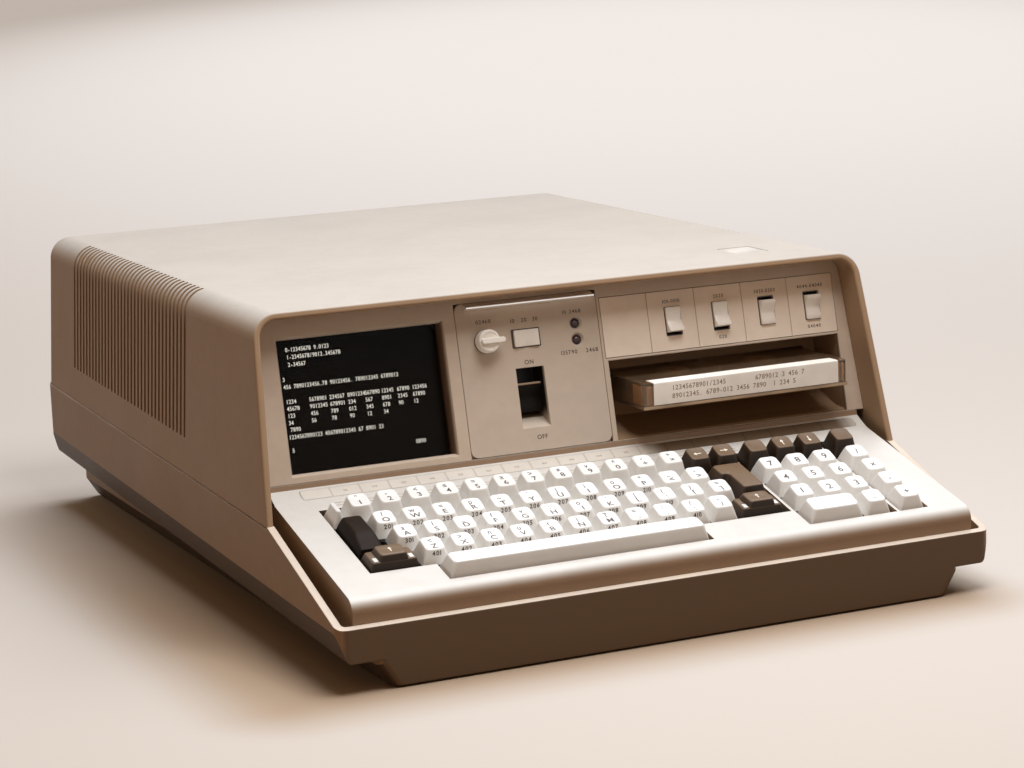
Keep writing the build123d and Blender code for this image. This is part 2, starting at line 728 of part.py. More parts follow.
def switch_panel():
    panel = insert_plate(SWITCH_X, SWITCH_W, SWITCH_CORNER_R, FLANGE_SLIM, FLANGE_WIDE, 0)
    for x in CELL_EDGES:
        panel -= plate_on(
            BEZEL, around(x, CELL_LINE), SWITCH_W, (-CELL_LINE, SUNK)
        )
    hole = (OPTION_WIDE + 2 * MOVE_GAP, OPTION_HOLE_TALL)
    pin_long = OPTION_WIDE + 2 * MOVE_GAP + ROCKER_WALL + 2 * SEAT_GAP
    for x in OPTION_X:
        box, hollow = rocker_box((x, OPTION_W), hole, ROCKER_BOX_DEEP)
        panel = panel + box - hollow
        panel -= pin_along(
            BEZEL, x, OPTION_W, ROCKER_PIVOT_N, pin_long, ROCKER_PIN_R + RUN_GAP
        )
    return panel


def mode_switch():
    """Three-position rocker that turns about the panel's upward axis."""
    shape = rocker_shape(MODE_WIDE, MODE_FACE, MODE_DISH, ROCKER_TAIL)
    body = rocker(MODE_TALL, shape, MODE_TALL + 2 * MOVE_GAP + ROCKER_WALL)
    return BEZEL * (Pos(*MODE_AT, ROCKER_PIVOT_N) * Rot(0, 0, 90) * body)


def power_switch():
    shape = rocker_shape(POWER_LONG, POWER_FACE, ROCKER_DISH, POWER_TAIL)
    wide = POWER_X[1] - POWER_X[0] - 2 * MOVE_GAP
    body = rocker(wide, shape, wide + 2 * MOVE_GAP + POWER_WALL)
    x = (POWER_X[0] + POWER_X[1]) / 2
    return BEZEL * (Pos(x, *POWER_PIVOT) * Rot(POWER_LEAN, 0, 0) * body)


def power_recess(grow, front):
    """Recess of the power switch: a pocket with a sloping foot."""
    low, high = POWER_W
    deep = POWER_DEEP + grow
    points = [
        (low - grow, front),
        (high + grow, front),
        (high + grow, -deep),
        (low + POWER_SLOPE_W - grow, -deep),
    ]
    width = POWER_X[1] - POWER_X[0] + 2 * grow
    face = make_face(Polyline(*[(POWER_X[0] - grow, v, n) for v, n in points], close=True))
    return BEZEL * extrude(face, width, dir=(1, 0, 0))


def control_panel():
    panel = insert_plate(
        PANEL_X, PANEL_W, PANEL_CORNER_R, FLANGE_WIDE, FLANGE_SLIM, FLANGE_SLIM
    )
    panel += ledge()
    panel = panel + power_recess(POWER_WALL, -SUNK) - power_recess(0, SUNK)
    mode_hole = (MODE_HOLE_WIDE, MODE_TALL + 2 * MOVE_GAP)
    box, hollow = rocker_box(MODE_AT, mode_hole, ROCKER_BOX_DEEP)
    panel = panel + box - hollow
    pin_long = MODE_TALL + 2 * MOVE_GAP + ROCKER_WALL + 2 * SEAT_GAP
    upright = Cylinder(ROCKER_PIN_R + RUN_GAP, pin_long, rotation=(90, 0, 0))
    panel -= BEZEL * (Pos(*MODE_AT, ROCKER_PIVOT_N) * upright)
    power_pin = POWER_X[1] - POWER_X[0] + POWER_WALL + 2 * SEAT_GAP
    x = (POWER_X[0] + POWER_X[1]) / 2
    panel -= pin_along(BEZEL, x, *POWER_PIVOT, power_pin, ROCKER_PIN_R + RUN_GAP)
    boss_deep = BEZEL_THICK + FLANGE_THICK + KNOB_BOSS_LONG
    panel += drum_on(BEZEL, KNOB_SHAFT_R + KNOB_BOSS_WALL, KNOB_AT, -boss_deep, -BEZEL_THICK)
    panel -= drum_on(BEZEL, KNOB_SHAFT_R + RUN_GAP, KNOB_AT, -FAR, FAR)
    for w in LAMP_W:
        panel -= drum_on(BEZEL, LAMP_R + SEAT_GAP, (LAMP_X, w), -FAR, FAR)
        cone = Cone(LAMP_R, LAMP_SINK_R, LAMP_SINK_DEEP)
        panel -= BEZEL * (Pos(LAMP_X, w, -LAMP_SINK_DEEP / 2) * cone)
    return panel


def ledge():
    """Light bevelled bar along the top of the control panel."""
    low, high = LEDGE_W
    nose = [(low + step, LEDGE_PROUD) for step in LEDGE_NOSE]
    points = [(low, 0.0)] + nose + [(high, 0.0)]
    face = make_face(Polyline(*[(LEDGE_X[0], v, n) for v, n in points], close=True))
    return BEZEL * extrude(face, LEDGE_X[1] - LEDGE_X[0], dir=(1, 0, 0))


def brightness_knob():
    disc = Pos(0, 0, KNOB_HIGH / 2 + MOVE_GAP) * Cylinder(KNOB_R, KNOB_HIGH)
    wide, reach = KNOB_POINTER
    back = KNOB_R * KNOB_BAR_BACK
    bar_h = (KNOB_HIGH - KNOB_BAR_LOW, KNOB_HIGH + KNOB_BAR_PROUD)
    pointer = block((-back, reach), (-wide / 2, wide / 2), bar_h)
    shaft = drum(KNOB_SHAFT_R, -KNOB_SHAFT_LONG, SUNK)
    return BEZEL * (Pos(*KNOB_AT, 0) * (disc + pointer + shaft))


def indicator_lamps():
    lenses = []
    for w in LAMP_W:
        body = drum(LAMP_R, -LAMP_LONG, -LAMP_SINK_DEEP)
        dome = Pos(0, 0, -LAMP_SINK_DEEP - LAMP_DOME_SINK) * Sphere(LAMP_R)
        head = dome & block((-FAR, FAR), (-FAR, FAR), (-LAMP_SINK_DEEP - SUNK, FAR))
        collar = drum(LAMP_R + LAMP_COLLAR, -LAMP_LONG, -BEZEL_THICK - FLANGE_THICK - SEAT_GAP)
        lenses.append(BEZEL * (Pos(LAMP_X, w, 0) * (body + head + collar)))
    return Compound(children=lenses)


def display_window():
    return plate_on(
        BEZEL,
        (WINDOW_X[0] + SEAT_GAP, WINDOW_X[1] - SEAT_GAP),
        (WINDOW_W[0] + SEAT_GAP, WINDOW_W[1] - SEAT_GAP),
        (-WINDOW_SINK - WINDOW_THICK, -WINDOW_SINK),
    )


def display_tube():
    """Picture tube behind the window: rim, funnel and neck."""
    back = -WINDOW_SINK - WINDOW_THICK
    centre = middle(WINDOW_X, WINDOW_W)
    rim_size = [s + 2 * TUBE_RIM for s in TUBE_FACE]
    rim = Pos(0, 0, -TUBE_RIM_THICK) * extrude(
        RectangleRounded(*rim_size, TUBE_FACE_R), TUBE_RIM_THICK - SEAT_GAP
    )
    wide_end = Pos(0, 0, -TUBE_RIM_THICK) * RectangleRounded(*TUBE_FACE, TUBE_FACE_R)
    neck_z = -TUBE_RIM_THICK - TUBE_FUNNEL
    narrow_end = Pos(0, 0, neck_z) * RectangleRounded(TUBE_THROAT, TUBE_THROAT, TUBE_THROAT_R)
    funnel = loft([wide_end, narrow_end])
    neck = drum(TUBE_NECK_R, neck_z - TUBE_NECK_LONG, neck_z + TUBE_NECK_SUNK)
    return BEZEL * (Pos(*centre, back) * (rim + funnel + neck))


def deflection_yoke():
    back = -WINDOW_SINK - WINDOW_THICK
    centre = middle(WINDOW_X, WINDOW_W)
    neck_z = -TUBE_RIM_THICK - TUBE_FUNNEL
    ring = drum(YOKE_R, neck_z - YOKE_LONG - YOKE_BACK, neck_z - YOKE_BACK)
    ring -= drum(TUBE_NECK_R + SEAT_GAP, neck_z - FAR, neck_z + FAR)
    return BEZEL * (Pos(*centre, back) * ring)


# ---- keyboard --------------------------------------------------------------
def deck_z(y):
    """Height of the deck face at a depth."""
    return DECK_REF_Z + DECK_TAN * (y - DECK_REF_Y)


def bezel_y(z):
    """Depth of the bezel face at a height."""
    return BEZEL_FOOT_Y + BEZEL_TAN * (z - BEZEL_FOOT_Z)


def deck_outline(drop):
    """Side outline of the deck's top from front to rear, lowered by drop."""
    strip_z = deck_z(STRIP_START_Y)
    top_w = BEZEL_LOW - SEAT_GAP
    end = (BEZEL_FOOT_Y + top_w * BEZEL_SIN, BEZEL_FOOT_Z + top_w * BEZEL_COS)
    turn_z = strip_z + STRIP_TAN * (BEZEL_FOOT_Y - STRIP_START_Y)
    turn = (bezel_y(turn_z), turn_z)
    return [
        (DECK_FRONT_Y, deck_z(DECK_FRONT_Y) - drop),
        (STRIP_START_Y, strip_z - drop),
        (turn[0], turn[1] - drop),
        (end[0], end[1] - drop),
    ]


def deck_front_low():
    """Height of the deck skirt's foot: the top of the pan's wing floor."""
    return WING_UNDER_Z + PAN_FLOOR


def keyboard_deck():
    top = deck_outline(0)
    back = BEZEL_THICK
    foot = deck_front_low()
    rear = [
        (top[-1][0] + back * BEZEL_COS, top[-1][1] - back * BEZEL_SIN),
        (bezel_y(0) + back / BEZEL_COS, 0),
    ]
    outer = side_prism([(DECK_FRONT_Y, 0)] + top + rear, DECK_HALF)
    nose = outer.edges().filter_by(Axis.X).filter_by(
        lambda e: abs(e.center().Y - DECK_FRONT_Y) < 0.1 and e.center().Z > foot
    )
    outer = fillet(nose, DECK_NOSE_R)
    front_y = DECK_FRONT_Y + DECK_WALL
    low = deck_outline(DECK_WALL / cos(radians(DECK_SLOPE)))
    under = [
        (front_y, deck_z(front_y) - DECK_WALL / cos(radians(DECK_SLOPE))),
        low[1],
        low[2],
        (low[2][0] + 2 * back, low[2][1]),
        (low[2][0] + 2 * back, 0),
        (front_y, 0),
    ]
    hollow = side_prism(under, DECK_HALF - DECK_WALL)
    inner_nose = hollow.edges().filter_by(Axis.X).filter_by(
        lambda e: abs(e.center().Y - front_y) < 0.1 and e.center().Z > foot
    )
    hollow = fillet(inner_nose, DECK_NOSE_R - DECK_WALL)
    deck = outer - hollow
    for x, v in DECK_POSTS:
        deck += drum_on(DECK, DECK_POST_R, (x, v), KEY_PLATE_H, -SUNK)
    deck -= well_tools()
    deck -= rounded_slab(STRIP, STRIP_X, STRIP_V, (-STRIP_SINK, SUNK), STRIP_CORNER_R)
    deck &= above_wing_floor()
    return deck


def above_wing_floor():
    """Space above the sloping inside floor of the pan's wings."""
    near, far = -HALF_D, HALF_D
    low = deck_front_low()
    rise = PARTING_TAN * CASE_DEPTH
    points = [(near, low), (far, low + rise), (far, FAR), (near, FAR)]
    return side_prism(points, FAR)


def well_tools():
    """Openings in the deck that the keys stand in."""
    h = (-FAR / 4, FAR / 4)
    tools = plate_on(DECK, (WELL_LEFT, WELL_RIGHT), WELL_V, h)
    tools += plate_on(DECK, BAR_WELL_X, (FRONT_WELL_V, WELL_V[0] + SUNK), h)
    tools += plate_on(DECK, PAD_WELL_X, (FRONT_WELL_V, WELL_V[1]), h)
    tools += plate_on(DECK, LAST_WELL_X, (FRONT_WELL_V, WELL_V[1]), h)
    return tools


def label_strip():
    x = (STRIP_X[0] + SEAT_GAP, STRIP_X[1] - SEAT_GAP)
    v = (STRIP_V[0] + SEAT_GAP, STRIP_V[1] - SEAT_GAP)
    return rounded_slab(STRIP, x, v, (-STRIP_SINK, -SEAT_GAP), STRIP_CORNER_R - SEAT_GAP)


def row_v(row):
    """Distance of a row's middle up the deck."""
    return ROW_A_V - ROW_PITCH * "ABCDE".index(row)


def cap(x, v, high):
    """Tapered key cap between base limits, with a flat top."""
    slant = (KEY_BASE - KEY_TOP) / 2
    base = Pos(*middle(x, v), KEY_FOOT_H) * Rectangle(*span(x, v))
    top = Pos(*middle(x, v), high) * Rectangle(*[s - 2 * slant for s in span(x, v)])
    return loft([base, top])


def stem(x, v):
    """Square plunger under a cap."""
    return block(around(x, STEM), around(v, STEM), (STEM_FOOT_H, KEY_FOOT_H + SUNK))


def key(x_span, v_span, high):
    """Key with one stem under its middle, or one near each end if it is long."""
    return DECK * (cap(x_span, v_span, high) + stems(x_span, v_span))


def stem_places(x_span, v_span):
    """Where a key's stems stand."""
    x, v = middle(x_span, v_span)
    wide, deep = span(x_span, v_span)
    if wide > 3 * KEY_PITCH:
        return [(x_span[0] + KEY_PITCH, v), (x_span[1] - KEY_PITCH, v)]
    return [(x, v)]


def stems(x_span, v_span):
    """All stems of one key."""
    places = stem_places(x_span, v_span)
    body = stem(*places[0])
    for place in places[1:]:
        body += stem(*place)
    return body


def around(centre, size):
    """Span of a size about a centre."""
    return (centre - size / 2, centre + size / 2)


def rows(upper, lower):
    """Span up the deck from the lower row's front to the upper row's rear."""
    return (row_v(lower) - KEY_BASE / 2, row_v(upper) + KEY_BASE / 2)


def row_x(row, index):
    """Middle of a main-field key."""
    return ROW_START_X[row] + KEY_PITCH * index


def pad_x(column):
    """Middle of a keypad column."""
    return PAD_LAST_X if column == 3 else PAD_X0 + PAD_PITCH * column


def key_spans():
    """Every key node: a list of (x span, v span, height) for its solids."""
    table = {}
    for row, count in LIGHT_KEY_COUNT.items():
        high = KEY_HIGH_REAR if row == "A" else KEY_HIGH
        keys = [(around(row_x(row, i), KEY_BASE), rows(row, row), high) for i in range(count)]
        table[f"letter_keys_row_{'ABCD'.index(row) + 1}"] = keys
    narrow = ((KEY_LEFT, KEY_LEFT + NARROW_KEY), rows("A", "A"), KEY_HIGH_REAR)
    table["letter_keys_row_1"].append(narrow)
    pad = []
    for row in "BCD":
        pad += [(around(pad_x(c), KEY_BASE), rows(row, row), KEY_HIGH) for c in range(4)]
    zero = (pad_x(0) - KEY_BASE / 2, pad_x(1) + KEY_BASE / 2)
    pad.append((zero, rows("E", "E"), KEY_HIGH))
    pad += [(around(pad_x(c), KEY_BASE), rows("E", "E"), KEY_HIGH) for c in (2, 3)]
    table["number_pad_keys"] = pad
    last = LIGHT_KEY_COUNT["A"]
    for name, x in {
        "left_arrow_key": row_x("A", last),
        "right_arrow_key": row_x("A", last + 1),
        "attention_key": pad_x(0),
        "up_arrow_key": pad_x(1),
        "down_arrow_key": pad_x(2),
        "hold_key": pad_x(3),
    }.items():
        table[name] = [(around(x, KEY_BASE), rows("A", "A"), KEY_HIGH_REAR)]
    command = (KEY_LEFT, KEY_LEFT + COMMAND_WIDE)
    table["command_key"] = [(command, rows("B", "C"), KEY_HIGH)]
    table["left_shift_key"] = [((KEY_LEFT, KEY_LEFT + LEFT_SHIFT_WIDE), rows("D", "D"), KEY_HIGH)]
    table["right_shift_key"] = [((RIGHT_SHIFT_X, MAIN_RIGHT), rows("D", "D"), KEY_HIGH)]
    table["space_bar"] = [(BAR_X, rows("E", "E"), KEY_HIGH)]
    return table


def key_node(spans):
    """One node of keys, each a separate solid."""
    solids = [key(x, v, high) for x, v, high in spans]
    return solids[0] if len(solids) == 1 else Compound(children=solids)


def execute_spans():
    """Upper and lower half of the stepped key."""
    upper = ((EXECUTE_X[0], MAIN_RIGHT), rows("B", "B"))
    lower = ((EXECUTE_X[1], MAIN_RIGHT), rows("B", "C"))
    return upper, lower


def execute_key():
    upper, lower = execute_spans()
    body = cap(*upper, KEY_HIGH) + cap(*lower, KEY_HIGH)
    return DECK * (body + stem(*middle(*lower)))


def all_stem_places():
    """Every hole that the key plate needs."""
    places = [middle(*execute_spans()[1])]
    for spans in key_spans().values():
        for x, v, _ in spans:
            places += stem_places(x, v)
    return places


def keyboard_plate():
    low = KEY_PLATE_H - KEY_PLATE_THICK
    plate = block((-KEY_FRAME_X, KEY_FRAME_X), KEY_FRAME_V, (low, KEY_PLATE_H))
    hole = STEM + 2 * MOVE_GAP
    tools = []
    for x, v in all_stem_places():
        tools.append(block(around(x, hole), around(v, hole), (low - SUNK, KEY_PLATE_H + SUNK)))
    return DECK * (plate - Compound(children=tools))


def keyboard_board():
    """Tray under the key plate that holds the sensing board."""
    high = KEY_PLATE_H - KEY_PLATE_THICK
    low = high - KEY_FRAME_DEEP
    wall = KEY_FRAME_WALL
    tray = block((-KEY_FRAME_X, KEY_FRAME_X), KEY_FRAME_V, (low, high))
    inside = (KEY_FRAME_V[0] + wall, KEY_FRAME_V[1] - wall)
    half = KEY_FRAME_X - wall
    floor = STEM_FOOT_H - KEY_TRAVEL - STEM_FLOOR_GAP
    tray -= block((-half, half), inside, (floor, high + SUNK))
    return DECK * tray


# ---- tape drive and cartridge ----------------------------------------------
def tape_bay():
    """Scooped bay in the bezel with a slot for the cartridge in its back."""
    low, high = BAY_W
    knee_n = -BAY_DEPTH * BAY_KNEE[0]
    knee_w = low + BAY_SCOOP * BAY_KNEE[1]
    back_w = low + BAY_SCOOP
    inner = [(SUNK, low), (knee_n, knee_w), (-BAY_DEPTH, back_w), (-BAY_DEPTH, high), (SUNK, high)]
    front = -BEZEL_THICK
    drop = BAY_WALL
    outer = [
        (front, low - drop),
        (knee_n, knee_w - drop),
        (-BAY_DEPTH - drop, back_w - drop),
        (-BAY_DEPTH - drop, high + BAY_ROOF),
        (front, high + BAY_ROOF),
    ]
    bay = bay_prism(outer, BAY_X[0] - drop, BAY_X[1] + drop)
    bay -= bay_prism(inner, BAY_X[0], BAY_X[1])
    top = CART_Z + CART_BASE_THICK + CART_COVER_HIGH
    slot_x = around(CART_X, CART_SIZE[0] + 2 * SLOT_GAP)
    bay -= block(slot_x, (CART_FRONT_Y, 0), (CART_Z - SLOT_GAP, top + SLOT_GAP))
    return bay


def bay_prism(points, left, right):
    """Prism across the bay from (n, w) points in the bezel's side view."""
    face = make_face(Polyline(*[(left, w, n) for n, w in points], close=True))
    return BEZEL * extrude(face, right - left, dir=(1, 0, 0))


def cart_span():
    """The cartridge's limits in X and Y."""
    return around(CART_X, CART_SIZE[0]), (CART_FRONT_Y, CART_FRONT_Y + CART_SIZE[1])


def reel_places():
    """Axes of the two reels."""
    y = CART_FRONT_Y + REEL_Y
    return [(CART_X - REEL_X, y), (CART_X + REEL_X, y)]


def roller_place():
    """Axis of the cartridge's drive roller."""
    return (CART_X, CART_FRONT_Y + CART_SIZE[1] - ROLLER_BACK)


def capstan_place():
    """Axis of the motor's drive puck."""
    x, y = roller_place()
    return (x, y + ROLLER_R + MOVE_GAP + CAPSTAN_R)


def cartridge_base():
    x, y = cart_span()
    top = CART_Z + CART_BASE_THICK
    base = block(x, y, (CART_Z, top))
    for at in reel_places() + [roller_place()]:
        base += drum(REEL_PIN_R, top - SUNK, top + CART_COVER_HIGH - CART_WALL - SEAT_GAP, at)
    return base


def cartridge_cover():
    x, y = cart_span()
    low = CART_Z + CART_BASE_THICK
    high = low + CART_COVER_HIGH
    outer = block(x, y, (low, high))
    rim = outer.edges().filter_by(Axis.Z)
    outer = fillet(rim, CART_CORNER_R)
    wall = CART_WALL
    cover = outer - block(
        (x[0] + wall, x[1] - wall), (y[0] + wall, y[1] - wall), (low - SUNK, high - wall)
    )
    mouth_y = (y[1] - CART_MOUTH_DEEP, y[1] + SUNK)
    cover -= block(CART_MOUTH_X, mouth_y, (low - SUNK, high - wall))
    return cover


def cartridge_label():
    """Blank label folded over the cartridge's front edge."""
    x = around(CART_X, LABEL_WIDE)
    y = CART_FRONT_Y
    top = CART_Z + CART_BASE_THICK + CART_COVER_HIGH
    front = block(x, (y - LABEL_THICK, y), (LABEL_Z[0], top + LABEL_THICK))
    flap = block(x, (y - LABEL_THICK, y + LABEL_DEEP), (top, top + LABEL_THICK))
    return front + flap


def reel(index):
    """Hub with its wound tape."""
    at = reel_places()[index]
    low = CART_Z + CART_BASE_THICK + SEAT_GAP
    high = low + CART_COVER_HIGH - CART_WALL - 3 * SEAT_GAP
    hub = drum(REEL_HUB_R, low, high, at)
    pack = drum(REEL_PACK_R[index], low + REEL_RIM, high - REEL_RIM, at)
    return hub + pack - drum(REEL_PIN_R + RUN_GAP, 0, FAR, at)


def drive_roller():
    at = roller_place()
    low = CART_Z + CART_BASE_THICK + SEAT_GAP
    high = low + CART_COVER_HIGH - CART_WALL - 3 * SEAT_GAP
    return drum(ROLLER_R, low, high, at) - drum(REEL_PIN_R + RUN_GAP, 0, FAR, at)


def capstan():
    at = capstan_place()
    puck = drum(CAPSTAN_R, *CAPSTAN_Z, at)
    shaft_foot = DRIVE_PLATE_Z[0] - MOTOR_LONG / 2
    shaft = drum(CAPSTAN_SHAFT_R, shaft_foot, CAPSTAN_Z[0] + SUNK, at)
    return puck + shaft


def drive_motor():
    at = capstan_place()
    top = DRIVE_PLATE_Z[0]
    can = drum(MOTOR_R, top - MOTOR_LONG, top, at)
    bore_foot = top - MOTOR_LONG / 2 - MOVE_GAP
    return can - drum(CAPSTAN_SHAFT_R + RUN_GAP, bore_foot, top + SUNK, at)


def tape_drive_deck():
    """Casting that guides the cartridge and carries the motor and head."""
    x = around(CART_X, CART_SIZE[0] + 2 * DRIVE_X_SIDE)
    low, high = DRIVE_PLATE_Z
    deck = block(x, DRIVE_Y, (low, high))
    inner = CART_SIZE[0] / 2 + MOVE_GAP
    for left, right in ((x[0], CART_X - inner), (CART_X + inner, x[1])):
        deck += block((left, right), DRIVE_Y, (high - SUNK, high + RAIL_HIGH))
    at = capstan_place()
    deck -= drum(CAPSTAN_SHAFT_R + RUN_GAP, 0, FAR, at)
    for x_leg, y_leg in DRIVE_LEGS:
        deck += drum(DRIVE_LEG_R, CHASSIS_Z, low + SUNK, (x_leg, y_leg))
    return deck


def tape_head():
    wide, deep, high = HEAD_SIZE
    back = CART_FRONT_Y + CART_SIZE[1]
    low = DRIVE_PLATE_Z[1]
    face_y = back - CART_MOUTH_DEEP + CART_WALL + MOVE_GAP
    head = block(around(HEAD_X, wide), (face_y, face_y + deep), (CAPSTAN_Z[0], CAPSTAN_Z[0] + high))
    foot_y = back + 2 * MOVE_GAP
    foot = block(around(HEAD_X, wide), (foot_y, foot_y + deep), (low, CAPSTAN_Z[0] + SUNK))
    return head + foot


# ---- chassis and electronics -----------------------------------------------
def chassis_plate():
    low = CHASSIS_Z - CHASSIS_THICK
    plate = block((-CHASSIS_HALF, CHASSIS_HALF), CHASSIS_Y, (low, CHASSIS_Z))
    for at in POST_XY:
        plate -= drum(SCREW_R + MOVE_GAP, 0, FAR, at)
    return plate


def case_screws():
    """Screws that hold the chassis plate to the pan's posts."""
    screws = []
    for at in POST_XY:
        head = drum(SCREW_HEAD_R, CHASSIS_Z, CHASSIS_Z + SCREW_HEAD_HIGH, at)
        shank = drum(SCREW_R - RUN_GAP, CHASSIS_Z - SCREW_LONG + SUNK, CHASSIS_Z + SUNK, at)
        screws.append(head + shank)
    return Compound(children=screws)


def card_places():
    """Middle of each circuit card across the machine."""
    pitch = (CAGE_X[1] - CAGE_X[0]) / CARD_COUNT
    return [CAGE_X[0] + pitch * (i + 0.5) for i in range(CARD_COUNT)]


def card_cage():
    """Open sheet frame: two slotted ends tied by two side sheets."""
    z = (CHASSIS_Z, CHASSIS_Z + CAGE_HIGH)
    cage = block(CAGE_X, CAGE_Y, z)
    inset = CAGE_SHEET + CARD_SLOT_DEEP
    cage -= block(
        (CAGE_X[0] + CAGE_SHEET, CAGE_X[1] - CAGE_SHEET),
        (CAGE_Y[0] + inset, CAGE_Y[1] - inset),
        (0, FAR),
    )
    tools = []
    groove = CARD_THICK + 2 * SEAT_GAP
    for x in card_places():
        side = around(x, groove)
        tools.append(block(side, (CAGE_Y[0] + CAGE_SHEET, CAGE_Y[1] - CAGE_SHEET), (0, FAR)))
    return cage - Compound(children=tools)


def backplane():
    """Wiring board on the chassis with a socket for each card."""
    gap = CAGE_SHEET + CARD_SLOT_DEEP + SEAT_GAP
    x = (CAGE_X[0] + CAGE_SHEET + SEAT_GAP, CAGE_X[1] - CAGE_SHEET - SEAT_GAP)
    y = (CAGE_Y[0] + gap, CAGE_Y[1] - gap)
    top = CHASSIS_Z + BOARD_THICK
    board = block(x, y, (CHASSIS_Z, top))
    for at in card_places():
        socket_y = (y[0] + SOCKET_INSET, y[1] - SOCKET_INSET)
        board += block(around(at, SOCKET_WIDE), socket_y, (top - SUNK, top + SOCKET_HIGH))
        slot = around(at, CARD_THICK + SEAT_GAP)
        board -= block(slot, (-FAR, FAR), (top + SOCKET_HIGH / 2, FAR))
    return board


def circuit_cards():
    low = CHASSIS_Z + BOARD_THICK + SOCKET_HIGH / 2
    y = (CAGE_Y[0] + CAGE_SHEET + SEAT_GAP, CAGE_Y[1] - CAGE_SHEET - SEAT_GAP)
    cards = [block(around(x, CARD_THICK), y, (low, low + CARD_HIGH)) for x in card_places()]
    return Compound(children=cards)


def power_supply():
    """Sheet housing over the transformer, open underneath."""
    z = (CHASSIS_Z, CHASSIS_Z + SUPPLY_HIGH)
    sheet = SUPPLY_SHEET
    box = block(SUPPLY_X, SUPPLY_Y, z)
    box -= block(
        (SUPPLY_X[0] + sheet, SUPPLY_X[1] - sheet),
        (SUPPLY_Y[0] + sheet, SUPPLY_Y[1] - sheet),
        (0, z[1] - sheet),
    )
    return box


def transformer():
    x, y = middle(SUPPLY_X, SUPPLY_Y)
    core = Pos(x, y, CHASSIS_Z + CORE_SIZE[2] / 2) * Box(*CORE_SIZE)
    coil = Pos(x, y, CHASSIS_Z + CORE_SIZE[2] / 2) * Box(*COIL_SIZE)
    return core + coil


def fan_frame():
    """Square frame with a round duct, struts and the bearing pin."""
    centre = fan_centre()
    frame = Box(FAN_THICK, FAN_SIZE, FAN_SIZE)
    frame -= Cylinder(FAN_BORE_R, FAN_THICK + SUNK, rotation=(0, 90, 0))
    strut_x = -FAN_THICK / 2 + FAN_STRUT / 2
    for turn in (45, 135):
        bar = Box(FAN_STRUT, FAN_STRUT, 2 * (FAN_BORE_R + SUNK))
        frame += Pos(strut_x, 0, 0) * Rot(turn, 0, 0) * bar
    pin_long = FAN_THICK - FAN_SET_BACK
    pin = Cylinder(FAN_PIN_R, pin_long, rotation=(0, 90, 0))
    frame += Pos(-FAN_THICK / 2 + pin_long / 2, 0, 0) * pin
    return Pos(*centre) * frame


def fan_centre():
    """Middle of the fan, standing on the chassis behind the side slots."""
    return (FAN_X + FAN_THICK / 2, FAN_Y, CHASSIS_Z + FAN_SIZE / 2)


def fan_rotor():
    """Hub and slanted blades that turn on the frame's pin."""
    wide = FAN_THICK - FAN_STRUT - FAN_SET_BACK
    hub = Cylinder(FAN_HUB_R, wide, rotation=(0, 90, 0))
    reach = FAN_BORE_R - FAN_TIP_GAP
    root = FAN_HUB_R - BLADE_SUNK
    for i in range(FAN_BLADES):
        blade = Box(wide * BLADE_CHORD, BLADE_THICK, reach - root)
        blade = Pos(0, 0, (reach + root) / 2) * Rot(0, 0, BLADE_TWIST) * blade
        hub += Rot(360 / FAN_BLADES * i, 0, 0) * blade
    hub -= Cylinder(FAN_PIN_R + RUN_GAP, FAN_THICK * 2, rotation=(0, 90, 0))
    hub &= Box(wide, FAN_SIZE, FAN_SIZE)
    x, y, z = fan_centre()
    return Pos(x + FAN_STRUT / 2, y, z) * hub


# ---- rear connectors -------------------------------------------------------
def signal_connectors():
    """Round coaxial socket and a flat multi-way port in the rear recess."""
    wall_y = HALF_D - REAR_WELL_DEPTH
    flange = Cylinder(COAX_FLANGE_R, COAX_FLANGE_THICK, rotation=(90, 0, 0))
    barrel = Cylinder(COAX_R, COAX_LONG, rotation=(90, 0, 0))
    coax = Pos(COAX_X, wall_y + COAX_FLANGE_THICK / 2, REAR_Z) * flange
    coax += Pos(COAX_X, wall_y + COAX_LONG / 2, REAR_Z) * barrel
    wide, high, deep = PORT_SIZE
    port = block(around(PORT_X, wide), (wall_y, wall_y + deep), around(REAR_Z, high))
    mouth = (around(PORT_X, wide - 2 * PORT_WALL[0]), around(REAR_Z, high - 2 * PORT_WALL[1]))
    port -= block(mouth[0], (wall_y + PORT_FLOOR, FAR), mouth[1])
    return Compound(children=[coax, port])


def power_inlet():
    """Three-way inlet for a detachable lead."""
    wide, high, deep = INLET_SIZE
    wall_y = HALF_D - REAR_WELL_DEPTH
    body = block(around(INLET_X, wide), (wall_y, wall_y + deep), around(REAR_Z, high))
    mouth = [s - 2 * INLET_WALL for s in (wide, high)]
    body -= block(around(INLET_X, mouth[0]), (wall_y + INLET_FLOOR, FAR), around(REAR_Z, mouth[1]))
    pin_wide, pin_high = BLADE_PIN_SIZE
    pin_y = (wall_y + SUNK, wall_y + deep - SUNK)
    for dx, dz in BLADE_PINS:
        body += block(around(INLET_X + dx, pin_wide), pin_y, around(REAR_Z + dz, pin_high))
    return body


